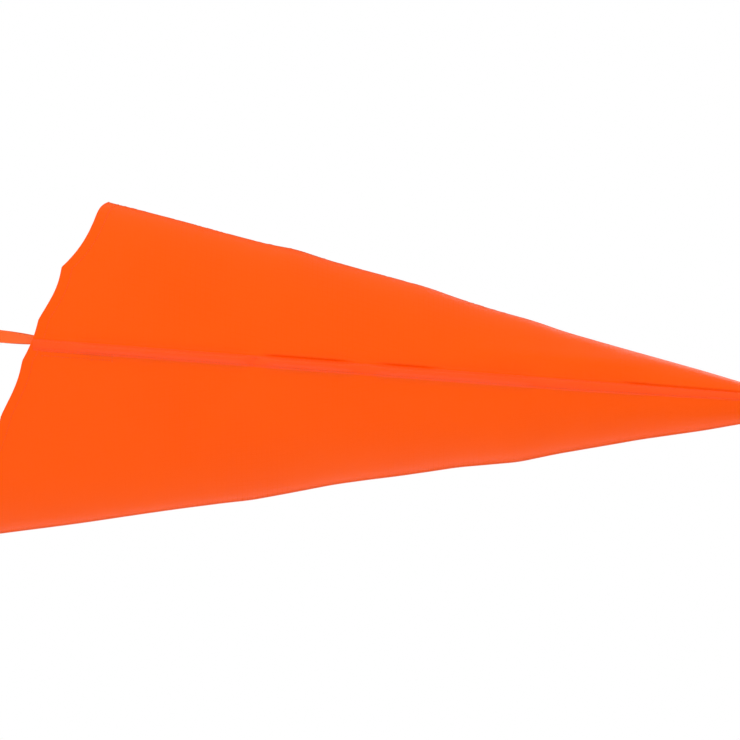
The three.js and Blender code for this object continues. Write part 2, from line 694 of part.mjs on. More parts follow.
// The bridle strap: one length of webbing round the bail's bar. Its ends go in at the mouth and are
// sewn inside along the seams.
function bridleStrap() {
  const legs = [-1, 1].map((side) => {
    const sections = [];
    const start = mouthAt(seamAngle(SEAM.start[0]));
    for (let i = 6; i >= 0; i--) {
      const x = start + 1 + (i / 6) * STRAP.sewnLength;
      sections.push(seamStrip(x, side, STRAP));
    }
    return sections;
  });
  const slope = Math.atan(LINE_SLOPE);
  const ahead = at(Math.cos(slope), 0, -Math.sin(slope));
  const across = at(Math.sin(slope), 0, Math.cos(slope));
  const onLine = (x, y) => ahead.clone().multiplyScalar(x).add(at(0, y));
  const offBar = BAIL.wire + 0.4 + STRAP.thick / 2;
  const free = (x, y, turn) =>
    stripSection(onLine(x, y), across, ahead.clone().multiplyScalar(Math.cos(turn)).add(at(0, Math.sin(turn))),
      STRAP.width, STRAP.thick);
  const near = [];
  for (let i = 3; i >= 1; i--) {
    const mouth = legs[0].at(-1)[0];
    const y = -1.1 + ((mouth.y + 1.1) * i) / 4;
    near.push([STRAP.joinEnd + ((mouth.x - STRAP.joinEnd) * i) / 4, y, -Math.PI / 2 - 0.28]);
  }
  near.push([STRAP.joinEnd, -1.1, -Math.PI / 2 - 0.1], [STRAP.joinStart, -1.1, -Math.PI / 2]);
  const turnRound = [];
  for (let i = 0; i <= 8; i++) {
    const turn = -Math.PI / 2 - (i / 8) * Math.PI;
    turnRound.push([BAIL.bar + offBar * Math.cos(turn), offBar * Math.sin(turn), turn]);
  }
  const far = near.map(([x, y, turn]) => [x, -y, -turn - 2 * Math.PI]).reverse();
  const middle = [...near, ...turnRound, ...far].map((place) => free(...place));
  const farEnd = legs[1].reverse();
  return strip([...legs[0], ...middle, ...farEnd]);
}

// A strip's section where it lies on a seam. side is -1 on the near side and 1 on the far side.
function seamStrip(x, side, { width, thick, clear }) {
  const { point, outward } = skin(x, seamAngle(x));
  const across = at(0, -outward.z, outward.y).multiplyScalar(Math.sign(outward.y) || 1);
  const lifted = point.clone().addScaledVector(outward, clear + thick / 2);
  const up = across.z < 0 ? across.negate() : across;
  if (side > 0) for (const v of [lifted, outward, up]) v.y = -v.y;
  return stripSection(lifted, up, outward, width, thick);
}

function seamTape(side) {
  const first = mouthAt(seamAngle(SEAM.start[0])) + 3;
  const last = TAIL - 1;
  const sections = [];
  const steps = 20;
  for (let i = 0; i <= steps; i++) {
    sections.push(seamStrip(first + ((last - first) * i) / steps, side, TAPE));
  }
  return strip(side < 0 ? sections.reverse() : sections);
}

add("upper_panel", panel(true), orangeCloth, sock);
add("lower_panel", panel(false), orangeCloth, sock);
add("mouth_hem", hem((angle) => [mouthAt(angle), mouthAt(angle) + HEM.mouth], 72), orangeCloth, sock);
add("tail_hem", hem(() => [TAIL - HEM.tail, TAIL], 32), orangeCloth, sock);
add("bridle_strap", bridleStrap(), orangeWebbing, sock);
add("near_seam_tape", seamTape(-1), orangeCloth, sock);
add("far_seam_tape", seamTape(1), orangeCloth, sock);

export default windsock;
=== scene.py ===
# %% [markdown]
# # A windsock on a telescopic pole
# The object is an orange sock of thin nylon that streams downwind from a swivel head. The head sits
# on three aluminium tubes that slide in each other, and the pole stands in a socket on a steel plate.
# The hard parts come from the CAD model, and this lesson gives them finishes and soft edges. The
# cloth, webbing and thread are made here, because a solid model can't show how cloth is sewn.

# %% Load the frame
import json
import math

import bpy
import numpy as np
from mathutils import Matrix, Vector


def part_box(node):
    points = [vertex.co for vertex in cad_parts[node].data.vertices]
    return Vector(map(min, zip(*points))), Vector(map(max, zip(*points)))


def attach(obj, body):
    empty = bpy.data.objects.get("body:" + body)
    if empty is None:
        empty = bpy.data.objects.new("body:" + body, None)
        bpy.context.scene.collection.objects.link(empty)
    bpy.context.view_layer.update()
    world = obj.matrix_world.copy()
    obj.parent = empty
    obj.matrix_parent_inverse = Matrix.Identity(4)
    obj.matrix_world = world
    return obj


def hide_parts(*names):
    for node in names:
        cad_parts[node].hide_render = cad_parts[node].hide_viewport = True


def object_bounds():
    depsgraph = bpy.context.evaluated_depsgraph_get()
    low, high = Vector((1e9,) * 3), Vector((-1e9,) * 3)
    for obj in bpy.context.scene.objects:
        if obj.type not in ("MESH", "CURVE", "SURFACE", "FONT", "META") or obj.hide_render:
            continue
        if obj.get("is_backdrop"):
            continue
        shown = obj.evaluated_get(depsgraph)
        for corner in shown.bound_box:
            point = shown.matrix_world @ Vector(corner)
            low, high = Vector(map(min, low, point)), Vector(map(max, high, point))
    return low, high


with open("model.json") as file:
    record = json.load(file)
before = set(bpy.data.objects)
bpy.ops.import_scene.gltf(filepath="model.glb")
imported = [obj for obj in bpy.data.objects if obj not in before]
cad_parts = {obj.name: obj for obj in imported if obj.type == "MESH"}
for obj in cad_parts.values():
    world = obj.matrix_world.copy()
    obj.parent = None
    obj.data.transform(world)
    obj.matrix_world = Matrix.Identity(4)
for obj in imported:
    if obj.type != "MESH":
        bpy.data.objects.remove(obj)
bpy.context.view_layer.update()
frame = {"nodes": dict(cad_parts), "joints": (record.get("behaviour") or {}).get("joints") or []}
MM = 0.001
joints = {joint["name"]: joint for joint in frame["joints"]}
HINGE = np.array(joints["sock_droop"]["pos_m"]) / MM
print("frame:", len(frame["nodes"]), "nodes; hinge at", HINGE, "mm")

# %% [markdown]
# ## Camera
# The sock is seen square on from its near side, level with its middle. A long lens from three metres
# away keeps the taper of the cone from being exaggerated. The object has no free cord: its bridle is
# harness webbing that is sewn at both ends.

# %% Camera
VIEW_WIDTH = 0.740
CAMERA_PLACE = (0.842, -3.0, 1.7805)
SENSOR = 36.0
camera_data = bpy.data.cameras.new("camera")
camera_data.sensor_width = SENSOR
camera_data.lens = SENSOR * -CAMERA_PLACE[1] / VIEW_WIDTH
camera = bpy.data.objects.new("camera", camera_data)
camera.location = CAMERA_PLACE
camera.rotation_euler = (math.pi / 2, 0, 0)
bpy.context.scene.collection.objects.link(camera)
bpy.context.scene.camera = camera
print("camera lens", round(camera_data.lens, 2), "mm")

# %% [markdown]
# ## Node graphs from Python
# A finish and a shape recipe are both graphs of nodes. Wiring them by hand hides the idea, so one
# small class wraps a socket and lets ordinary arithmetic add the Math nodes. One method makes every
# other node: first its settings, then the values or links of its sockets.


# %% Signals and graphs
class Signal:
    """A number or vector that travels through a graph. Arithmetic on it adds Math nodes."""

    def __init__(self, graph, socket):
        self.graph, self.socket = graph, socket

    def math(self, operation, first, second=0.0, third=0.0):
        settings = {"operation": operation}
        return self.graph.node("ShaderNodeMath", settings, {0: first, 1: second, 2: third})

    def __add__(self, other):
        return self.math("ADD", self, other)

    __radd__ = __add__

    def __sub__(self, other):
        return self.math("SUBTRACT", self, other)

    def __rsub__(self, other):
        return self.math("SUBTRACT", other, self)

    def __mul__(self, other):
        return self.math("MULTIPLY", self, other)

    __rmul__ = __mul__

    def __abs__(self):
        return self.math("ABSOLUTE", self)

    def larger(self, other):
        return self.math("MAXIMUM", self, other)

    def ridge(self, spacing, width):
        """1 on lines that are spacing apart, falling to 0 at width from each."""
        return self.math("PINGPONG", self, spacing / 2).between(width, 0.0)

    def wave(self, spacing):
        return self.math("SINE", self * (2 * math.pi / spacing))

    def between(self, low, high):
        """0 at low and 1 at high, smooth between."""
        values = {0: self, 1: low, 2: high, 3: 0.0, 4: 1.0}
        return self.graph.node("ShaderNodeMapRange", {"interpolation_type": "SMOOTHSTEP"}, values)


class Graph:
    """A node tree that is built one node at a time."""

    def __init__(self, tree):
        self.tree = tree

    def node(self, kind, settings=None, inputs=None, output=0):
        made = self.tree.nodes.new(kind)
        for key, value in (settings or {}).items():
            setattr(made, key, value)
        for key, value in (inputs or {}).items():
            if isinstance(value, Signal):
                self.tree.links.new(value.socket, made.inputs[key])
            else:
                made.inputs[key].default_value = value
        return Signal(self, made.outputs[output]) if made.outputs else None

    def part(self, vector, axis):
        """One part of a vector: 0 for x, 1 for y or 2 for z."""
        return self.node("ShaderNodeSeparateXYZ", inputs={0: vector}, output=axis)


print("graph helpers ready")

# %% [markdown]
# ## Studio light and floor
# An even, bright room shows a plain orange sock best. The floor is pale and ends well short of the
# horizon. The room's sheen is dim at eye level and bright from straight below, so that only folds
# that look downwards catch a soft pale highlight, as they do over a pale floor in daylight.

# %% Room light
world = bpy.data.worlds.new("room")
world.use_nodes = True
world.node_tree.nodes.clear()
bpy.context.scene.world = world
room = Graph(world.node_tree)
direction = room.node("ShaderNodeTexCoord", output="Generated")
height = room.part(direction, 2)
below = (0.0 - height).between(0.70, 0.93)
above = height.between(0.6, 0.95)
sides = abs(room.part(direction, 0)).between(0.72, 0.95)
sheen_light = 0.09 + below * 2.6 + above * 0.7 + sides * 0.9
even_light = 0.95 + height * 0.06
is_glossy = room.node("ShaderNodeLightPath", output="Is Glossy Ray")
is_camera = room.node("ShaderNodeLightPath", output="Is Camera Ray")
seen_light = is_glossy * sheen_light + (1.0 - is_glossy) * even_light
strength = is_camera * 1.0 + (1.0 - is_camera) * seen_light
background = room.node("ShaderNodeBackground", inputs={"Color": (1, 1, 1, 1), "Strength": strength})
room.node("ShaderNodeOutputWorld", inputs={"Surface": background})
bpy.context.scene.view_settings.view_transform = "Standard"
bpy.context.scene.view_settings.look = "None"


# %% Lamps
def softbox(name, place, target, size, power, in_reflections=True):
    """A large square area lamp at a place, turned to face a target."""
    lamp = bpy.data.lights.new(name, "AREA")
    lamp.shape, lamp.size, lamp.energy = "SQUARE", size, power
    made = bpy.data.objects.new(name, lamp)
    made.location = place
    aim = np.array(target, float) - np.array(place, float)
    flat = math.hypot(aim[0], aim[1])
    made.rotation_euler = (math.atan2(flat, -aim[2]), 0, math.atan2(aim[1], aim[0]) - math.pi / 2)
    made.visible_glossy = in_reflections
    made.visible_camera = False
    bpy.context.scene.collection.objects.link(made)


softbox("key_softbox", (-0.6, -2.6, 4.4), (0.6, 0, 1.5), 1.6, 50, in_reflections=False)
softbox("back_softbox", (2.4, 2.8, 3.6), (0.4, 0, 1.2), 1.4, 14)
print("two softboxes and a bright room")

# %% Floor
FLOOR_RADIUS = 6.0
bpy.ops.mesh.primitive_circle_add(vertices=96, radius=FLOOR_RADIUS, fill_type="NGON")
floor = bpy.context.active_object
floor.name = "floor"
floor.visible_glossy = False


class Finish(Graph):
    """A material with one glossy shader. Its fixed values are set on the shader's own sockets."""

    def __init__(self, name, fixed):
        self.material = bpy.data.materials.new(name)
        self.material.use_nodes = True
        super().__init__(self.material.node_tree)
        self.shader = self.tree.nodes["Principled BSDF"]
        for label, value in fixed.items():
            self.shader.inputs[label].default_value = value

    def object_place(self):
        return self.node("ShaderNodeTexCoord", output="Object")

    def stretched(self, x, y, z):
        return self.node("ShaderNodeMapping", inputs={"Vector": self.object_place(), "Scale": (x, y, z)})

    def attribute(self, name):
        return self.node("ShaderNodeAttribute", {"attribute_name": name}, output="Fac")

    def noise(self, place, scale, detail=3.0):
        values = {"Vector": place, "Scale": scale, "Detail": detail}
        return self.node("ShaderNodeTexNoise", inputs=values)

    def mix(self, share, first, second):
        """The first colour where share is 0 and the second where it is 1."""
        values = {0: share, 6: first, 7: second}
        return self.node("ShaderNodeMix", {"data_type": "RGBA"}, values, output=2)

    def bump(self, height, distance, strength=1.0):
        values = {"Height": height, "Distance": distance, "Strength": strength}
        return self.node("ShaderNodeBump", inputs=values)

    def surface(self, base, rough=None, normal=None):
        for label, signal in (("Base Color", base), ("Roughness", rough), ("Normal", normal)):
            if signal:
                self.tree.links.new(signal.socket, self.shader.inputs[label])
        return self.material


floor_finish = Finish("pale_floor", {"Roughness": 0.9, "Specular IOR Level": 0.1})
floor_tone = floor_finish.noise(floor_finish.object_place(), 0.8)
floor_colour = floor_finish.mix(floor_tone, (0.945, 0.945, 0.94, 1), (0.965, 0.965, 0.96, 1))
floor.data.materials.append(floor_finish.surface(floor_colour))
floor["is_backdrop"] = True
print("floor of", FLOOR_RADIUS, "m radius")

# %% [markdown]
# ## Sock cloth
# The sock is rip-stop nylon: a very fine plain weave with a thicker yarn every few millimetres both
# ways, which stops a tear from running. It is thin, smooth and strongly coloured. Every cloth piece
# carries two attributes, in millimetres: how far a point lies across the cut cloth and how far along
# its run. The weave follows those, so it runs straight down each panel and is cut off by the seams.

# %% Cloth finish
RIPSTOP_SPACING, RIPSTOP_WIDTH, YARN_SPACING = 5.0, 0.32, 0.5


def cloth_finish(name, colour, darker, lighter):
    finish = Finish(name, {"Specular IOR Level": 0.11})
    across, run = finish.attribute("across"), finish.attribute("run")
    grid = across.ridge(RIPSTOP_SPACING, RIPSTOP_WIDTH).larger(run.ridge(RIPSTOP_SPACING, RIPSTOP_WIDTH))
    weave = across.wave(YARN_SPACING) * run.wave(YARN_SPACING)
    cloud = finish.noise(finish.object_place(), 9.0, 4.0)
    dye = finish.mix(cloud.between(0.35, 0.65), darker, lighter)
    base = finish.mix(0.5 + grid * 0.5, dye, colour)
    fibres = finish.noise(finish.stretched(700, 700, 700), 1.0, 2.0)
    rough = 0.26 + cloud * 0.05 + fibres * 0.03 - grid * 0.03
    relief = grid * 0.05 + weave * 0.03 + fibres * 0.01
    return finish.surface(base, rough, finish.bump(relief, MM, 0.5))


PANEL_CLOTH = cloth_finish(
    "ripstop_nylon", (0.905, 0.084, 0.0003, 1), (0.895, 0.081, 0.0001, 1), (0.915, 0.088, 0.0005, 1)
)
HEM_CLOTH = cloth_finish(
    "ripstop_hem", (0.955, 0.080, 0.0015, 1), (0.945, 0.077, 0.001, 1), (0.965, 0.084, 0.002, 1)
)
# The seam strips' cloth is tinted pinker than the panels' cloth. This is a painted highlight: it stands in
# for the pale sheen that the strips catch from the floor.
SEAM_CLOTH_PAINTED_HIGHLIGHT = cloth_finish(
    "ripstop_seam", (0.955, 0.080, 0.009, 1), (0.945, 0.077, 0.006, 1), (0.965, 0.082, 0.012, 1)
)
print("cloth finishes:", PANEL_CLOTH.name, HEM_CLOTH.name, SEAM_CLOTH_PAINTED_HIGHLIGHT.name)

# %% [markdown]
# Webbing is woven from much thicker yarn than the sock, so its ribs can be seen and it shines less.
# Thread is a twisted polyester: each stitch is made as a small mesh, and the twist is a fine bump.


# %% Webbing and thread finishes
def webbing_finish():
    finish = Finish("orange_webbing", {"Specular IOR Level": 0.35, "Sheen Weight": 0.1})
    across, run = finish.attribute("across"), finish.attribute("run")
    fold = abs(across)
    herringbone = (run + fold).wave(1.6)
    fuzz = finish.noise(finish.stretched(900, 900, 900), 1.0, 2.0)
    worn = fold.between(5.2, 6.6) * fuzz.between(0.4, 0.7)
    yarn = finish.mix(herringbone.between(-0.9, 0.6), (0.80, 0.085, 0.004, 1), (0.93, 0.125, 0.006, 1))
    base = finish.mix(worn * 0.4, yarn, (0.95, 0.22, 0.05, 1))
    normal = finish.bump(herringbone * 0.12 + fuzz * 0.08, MM, 0.8)
    return finish.surface(base, 0.62 + fuzz * 0.18, normal)


def thread_finish():
    finish = Finish("sewing_thread", {"Specular IOR Level": 0.4, "Sheen Weight": 0.05})
    twist = finish.noise(finish.stretched(2600, 2600, 2600), 1.0, 1.0)
    base = finish.mix(twist.between(0.3, 0.7), (0.78, 0.070, 0.004, 1), (0.90, 0.10, 0.008, 1))
    return finish.surface(base, 0.5 + twist * 0.1, finish.bump(twist, 0.06 * MM, 0.6))


WEBBING, THREAD = webbing_finish(), thread_finish()
print("webbing and thread finishes ready")

# %% [markdown]
# ## The sock's shape as a law
# A point on the sock is given by its distance downwind of the hinge and a turn round it: 0 on the
# near side, a quarter turn at the top. The side view sets the top line, the low line and the seam's
# line. The section between them starts as a flat lens, which the two straps draw tight, and becomes
# round by the tail. The straight lines are the CAD model's, in the same millimetres. The cloth adds
# what a plain solid leaves out: lines that swell between folds, a ridge along each seam, and puckers.

# %% Lines of the side view
TAIL = 1048.0
TOP_LINE = ((372, 105), (TAIL, -87))
LOW_LINE = ((222, -232), (TAIL, -110))
SEAM_LINE = ((300, -33), (TAIL, -89.6))
# Where the filled cloth stands proud of a straight line: distance downwind, and by how much.
TOP_SWELLS = (
    (372, 1.4), (500, 3.9), (535, 4.8), (563, 7.2), (595, 5.3), (632, 5.2), (694, 6.4),
    (742, 3.0), (767, 2.4), (800, 2.6), (832, 0.6), (970, 1.2), (TAIL, 0),
)
LOW_SWELLS = (
    (222, 0), (240, 1.6), (390, 2.4), (495, 3.6), (517, 4.4), (548, 3.4), (600, 1.8), (667, 2.9),
    (690, 2.9), (725, 2.6), (786, 6.8), (826, 4.3), (907, 1.8), (970, 2.2), (TAIL, 0),
)
SWELL_SOFTNESS = 9.0
MOUTH_DEPTH = 0.4
SEAM_SHARPNESS = 1.4


def straight(line, x):
    (x0, z0), (x1, z1) = line
    return z0 + (z1 - z0) * (x - x0) / (x1 - x0)


def swelling(swells, x):
    """How far the cloth stands proud, with its folds rounded off."""
    places, heights = zip(*swells)
    shifts = np.linspace(-SWELL_SOFTNESS, SWELL_SOFTNESS, 7)
    return np.mean([np.interp(x + shift, places, heights) for shift in shifts], axis=0)


def section(x):
    """The widest line's height, the reach above and below it, the half depth and the sharpness."""
    high = straight(TOP_LINE, x) + swelling(TOP_SWELLS, x)
    low = straight(LOW_LINE, x) - swelling(LOW_SWELLS, x)
    settled = np.clip((x - SEAM_LINE[0][0]) / (TAIL - SEAM_LINE[0][0]), 0, 1) ** 2
    seam = straight(SEAM_LINE, x)
    widest = seam + ((high + low) / 2 - seam) * settled
    depth = (high - low) / 2 * (MOUTH_DEPTH + (1 - MOUTH_DEPTH) * settled)
    return widest, high - widest, widest - low, depth, SEAM_SHARPNESS + (2 - SEAM_SHARPNESS) * settled


def outline(x, turn):
    widest, up, down, depth, sharpness = section(x)
    rise = np.sign(np.sin(turn)) * np.abs(np.sin(turn)) ** (2 / sharpness)
    return -depth * np.cos(turn), widest + rise * np.where(rise > 0, up, down)


def seam_turn(x):
    widest, up, _, _, sharpness = section(x)
    share = np.clip((straight(SEAM_LINE, x) - widest) / up, 0, 1)
    return np.arcsin(share ** (sharpness / 2))


print("section at the tail:", [round(float(v), 2) for v in section(TAIL)])

# %% [markdown]
# The mouth is cut on the slant, and its edge is drawn out where folds end and scooped between them.
# The edge is known by height, so where it crosses a given turn is found by going back and forth a few
# times between height and distance. That is why the panels are made in Python and not with nodes.

# %% The mouth's edge
# Heights where the edge is drawn out, the distance there, the scoop above each, and which way the
# scoop leans: below 1 it is deepest low down, and above 1 it is deepest high up.
EDGE_POINTS = (
    (-232, 223.5, 2.0, 1.0),
    (-170, 249.5, 2.5, 1.0),
    (-108, 275.4, 2.6, 1.25),
    (-54, 297.0, 2.0, 1.0),
    (-14, 312.5, 3.6, 1.2),
    (39, 334.0, 6.8, 0.8),
    (105, 369.5, 0, 1.0),
)


# The corner at the top is rounded: it sets in above this height, by this much at the top line.
CORNER_HEIGHT, CORNER_SET_IN = 90.0, 5.0


def mouth_line(z):
    heights, distances, scoops, leans = (np.array(v, float) for v in zip(*EDGE_POINTS))
    corner = CORNER_SET_IN * (np.clip(z - CORNER_HEIGHT, 0, None) / (heights[-1] - CORNER_HEIGHT)) ** 3
    z = np.clip(z, heights[0], heights[-1])
    at = np.clip(np.searchsorted(heights, z, side="right") - 1, 0, len(heights) - 2)
    share = (z - heights[at]) / (heights[at + 1] - heights[at])
    return np.interp(z, heights, distances) + scoops[at] * np.sin(np.pi * share ** leans[at]) + corner


def mouth_at(turn):
    x = np.full_like(turn, 300.0)
    for _ in range(24):
        x = 0.5 * x + 0.5 * mouth_line(outline(x, turn)[1])
    return x


edge = mouth_at(np.linspace(0, 2 * np.pi, 9))
print("mouth from", round(float(edge.min()), 1), "to", round(float(edge.max()), 1), "mm downwind")

# %% [markdown]
# The wind's pull runs down the two seams, so the cloth there stands up in a rounded ridge just below
# the seam, with a crease above it. The ridge comes and goes along the sock, where folds end.

# %% Ridge, creases and puckers
# Stretches of the seam where the ridge stands up: first and last distance, and its share of full height.
RIDGES = ((352, 517, 1.0), (535, 620, 1.0), (640, 797, 0.95), (815, 910, 0.45))
RIDGE_HEIGHT = 4.8
DIMPLE = 525.0
CREASES = ((535, 615), (650, 700), (890, 1010))
FAR_SHIFT = 37.0
# Above the seam the cloth rolls over a soft shoulder: its stretch, how far above, its width and height.
SHOULDER_STRETCH, SHOULDER_ABOVE, SHOULDER_WIDTH, SHOULDER_HEIGHT = (745, 905), 21.0, 11.0, 2.6


def bell(value, middle, width):
    return np.exp(-(((value - middle) / width) ** 2))


def rounded_step(value, low, high):
    share = np.clip((value - low) / (high - low), 0, 1)
    return share * share * (3 - 2 * share)


def plateau(x, first, last, soft):
    return rounded_step(x, first - soft, first + soft) * (1 - rounded_step(x, last - soft, last + soft))


def ridge_relief(x, below_seam):
    """How far the cloth stands out at a distance below the seam, which is negative above it."""
    ridge = 0.18 + sum(share * plateau(x, first, last, 11) for first, last, share in RIDGES)
    ridge = np.clip(ridge, 0, 1.1) - 0.55 * bell(x, DIMPLE, 7)
    crest_width = np.where(below_seam < 2.4, 2.3, 6.0)
    crest = RIDGE_HEIGHT * ridge * bell(below_seam, 2.4, crest_width)
    trough = -0.6 * ridge * bell(below_seam, 17, 6)
    crease = sum(plateau(x, first, last, 14) for first, last in CREASES)
    shoulder = plateau(x, *SHOULDER_STRETCH, 38) * bell(below_seam, -SHOULDER_ABOVE, SHOULDER_WIDTH)
    return crest + trough + SHOULDER_HEIGHT * shoulder - 1.5 * crease * bell(below_seam, -1.6, 1.3)


def cloth(x, turn):
    """Points on the sewn cloth, and the way out of it, in millimetres from the hinge."""
    y, z = outline(x, turn)
    step = 0.012
    (y0, z0), (y1, z1) = outline(x, turn - step), outline(x, turn + step)
    length = np.hypot(y1 - y0, z1 - z0)
    outward = np.stack([0 * x, -(z1 - z0) / length, (y1 - y0) / length], axis=-1)
    far = y > 0
    edge_turn = np.where(far, np.pi - seam_turn(x), seam_turn(x))
    seam_y, seam_z = outline(x, edge_turn)
    distance = np.hypot(y - seam_y, z - seam_z)
    below_seam = np.where(z < seam_z, distance, -distance)
    pattern = x + np.where(far, FAR_SHIFT, 0)
    relief = ridge_relief(pattern, below_seam)
    pucker = np.sin(pattern / 1.9 + 2 * np.sin(pattern / 23)) * bell(distance, 0, 10)
    from_mouth = x - mouth_line(z)
    hem_pucker = np.sin(distance / 2.1 + 1.5 * np.sin(distance / 17)) * bell(from_mouth, 8, 12)
    calm = rounded_step(distance, 6, 60) * (1 - rounded_step(x, 700, 1000))
    billow = np.sin(pattern / 47 + 2 * turn) * np.sin(3 * turn - pattern / 83 + 0.6)
    relief = relief + 0.16 * pucker + 0.12 * hem_pucker + 0.7 * calm * billow
    return np.stack([x, y, z], axis=-1) + relief[..., None] * outward, outward


print("ridge at its highest:", round(float(ridge_relief(np.array(450.0), np.array(3.0))), 2), "mm")

# %% [markdown]
# ## From grids of points to closed cloth
# A piece of cloth is a grid of points. Its inside is the same grid, moved in by the cloth's
# thickness, and a narrow rim joins the two, so the mesh is closed.


# %% Grids into meshes
def new_piece(name, mesh, material):
    made = bpy.data.objects.new(name, mesh)
    bpy.context.scene.collection.objects.link(made)
    mesh.materials.clear()
    mesh.materials.append(material)
    return made


def quads(index, loop_rows=False, loop_columns=False):
    """The four corners of every cell in a grid of point numbers."""
    rows, columns = index.shape
    a = np.arange(rows if loop_rows else rows - 1)
    b = np.arange(columns if loop_columns else columns - 1)
    row, column = (v.ravel() for v in np.meshgrid(a, b, indexing="ij"))
    row1, column1 = (row + 1) % rows, (column + 1) % columns
    corners = [index[row, column], index[row1, column], index[row1, column1], index[row, column1]]
    return np.stack(corners, axis=-1).tolist()


def plain_mesh(name, points, faces, marks):
    """A smooth mesh with sharp corners kept, and a value of each mark at every point."""
    mesh = bpy.data.meshes.new(name)
    mesh.from_pydata(points.reshape(-1, 3).tolist(), [], faces)
    mesh.polygons.foreach_set("use_smooth", np.ones(len(mesh.polygons), bool))
    mesh.set_sharp_from_angle(angle=math.radians(60))
    for label, values in marks.items():
        made = mesh.attributes.new(label, "FLOAT", "POINT")
        made.data.foreach_set("value", values.astype(np.float32).ravel())
    return mesh


def strip_mesh(name, points, marks, loop_rows=False):
    """A mesh whose rows of points are closed loops. Unless the rows loop too, it has two ends."""
    index = np.arange(points.shape[0] * points.shape[1]).reshape(points.shape[:2])
    faces = quads(index, loop_rows, True)
    if not loop_rows:
        faces += [index[0].tolist(), index[-1][::-1].tolist()]
    return plain_mesh(name, points, faces, marks)


def placed(points):
    return (points + HINGE) * MM


def thick_cloth(name, points, outward, thickness, across, run, material):
    """A closed sheet: its outside, its inside, and the narrow edge that joins them all round."""
    outside = np.arange(across.size).reshape(across.shape)
    inside = outside + across.size
    edge = [outside[:, 0], outside[-1, 1:], outside[-2::-1, -1], outside[0, -2:0:-1]]
    edge = np.concatenate(edge)
    rim = np.stack([edge, edge + across.size], axis=1)
    faces = quads(outside[:, ::-1]) + quads(inside) + quads(rim, loop_rows=True)
    both = placed(np.stack([points, points - thickness * outward]))
    marks = {"across": np.stack([across, across]), "run": np.stack([run, run])}
    return new_piece(name, plain_mesh(name, both, faces, marks), material)


print("mesh helpers ready")

# %% [markdown]
# ## Two panels
# The sock is cut in two: one panel goes over the top and the other under the bottom, and they meet
# along the near and far seams. The points crowd together near the seams, where the ridge needs them.

# %% Panels
CLOTH_THICKNESS = 0.45
EDGE_TURN_IN = 0.9


def crowded(count, crowding):
    """Shares from 0 to 1 that lie closer together at both ends."""
    share = np.linspace(0, 1, count)
    return share - crowding * np.sin(2 * np.pi * share) / (2 * np.pi)


def panel_grid(upper, columns, rows):
    across, along = np.meshgrid(crowded(columns, 0.88), np.linspace(0, 1, rows), indexing="ij")
    turn = np.pi * (across if upper else across - 1)
    for _ in range(6):
        x = mouth_at(turn) + EDGE_TURN_IN
        x = x + (TAIL - EDGE_TURN_IN - x) * along
        seam = seam_turn(x)
        first, last = (seam, np.pi - seam) if upper else (-np.pi - seam, seam)
        turn = first + (last - first) * across
    return x, turn


def cut_marks(points):
    """How far each point lies across its panel from the middle, and along it."""
    steps = np.hypot(*np.moveaxis(np.diff(points[..., 1:], axis=0), -1, 0))
    across = np.concatenate([np.zeros((1, points.shape[1])), np.cumsum(steps, axis=0)])
    return across - across[len(across) // 2], points[..., 0]


def make_panel(name, upper, columns, rows):
    x, turn = panel_grid(upper, columns, rows)
    points, outward = cloth(x, turn)
    across, run = cut_marks(points)
    made = thick_cloth(name, points, outward, CLOTH_THICKNESS, across, run, PANEL_CLOTH)
    print(name, len(made.data.polygons), "faces; widest", round(float(np.ptp(across, axis=0).max())), "mm")
    return made


upper_panel = make_panel("upper_panel_cloth", True, 101, 281)
lower_panel = make_panel("lower_panel_cloth", False, 121, 301)

# %% [markdown]
# ## Felled seams
# The two panels' edges are folded into each other and sewn flat, which makes a strip four layers
# thick along each seam. It follows the ridge. To walk down from the seam by a given distance on the
# cloth, the outline is sampled finely round the seam and its length is added up.


# %% Seam strips
def beside_seam(x, distance, far=False):
    """Points at distances below a seam, measured on the cloth, and the way out of it."""
    fine = np.linspace(-1.3, 1.3, 521)
    points = np.empty(x.shape + (3,))
    outward = np.empty(x.shape + (3,))
    for i, place in enumerate(x[:, 0]):
        turns = seam_turn(place) - fine
        y, z = outline(np.full_like(turns, place), turns)
        length = np.concatenate([[0], np.cumsum(np.hypot(np.diff(y), np.diff(z)))])
        length -= np.interp(0, fine, length)
        turn = np.interp(distance[i], length, turns)
        points[i], outward[i] = cloth(x[i], np.pi - turn if far else turn)
    return points, outward


SEAM_ROWS = 311
near_seam_start = float(mouth_at(np.array(seam_turn(306.0)))) + 0.6
seam_run = np.linspace(near_seam_start, TAIL - 0.6, SEAM_ROWS)
# Round the strip: its upper edge, over its face and down its lower edge, then back under it.
STRIP_ROUND = (
    (-1.0, -0.2), (-1.05, 0.35), (-0.6, 0.75), (0.8, 0.78), (2.4, 0.75), (4.0, 0.76), (5.6, 0.74),
    (7.2, 0.68), (8.8, 0.5), (9.8, 0.3), (10.2, 0.05), (10.0, -0.25), (4.0, -0.3),
)
# The strip's raised face lies between these distances, and its yarn ripples there.
FACE_FROM, FACE_TO, RIPPLE = 0.5, 7.0, 0.10
# Downwind of NARROWING the strip loses this share of its width by the tail.
NARROWING, NARROWED_BY = 800.0, 0.28


def strip_share(x):
    """How wide the strip is at a distance, as a share of its full width."""
    return 1 - NARROWED_BY * rounded_step(x, NARROWING, TAIL)


def seam_strip(name, far):
    down, out = (np.array(v) for v in zip(*STRIP_ROUND))
    x = np.repeat(seam_run[:, None], len(down), axis=1)
    distance = down[None, :] * strip_share(x)
    ripple = RIPPLE * np.sin(x / 0.48 + 1.3 * np.sin(x / 31)) * (down > FACE_FROM) * (down < FACE_TO)
    points, outward = beside_seam(x, distance, far)
    points = points + (out[None, :] + ripple)[..., None] * outward
    if not far:
        points, distance = points[:, ::-1], distance[:, ::-1]
    mesh = strip_mesh(name, placed(points), {"across": distance, "run": x})
    return new_piece(name, mesh, SEAM_CLOTH_PAINTED_HIGHLIGHT)


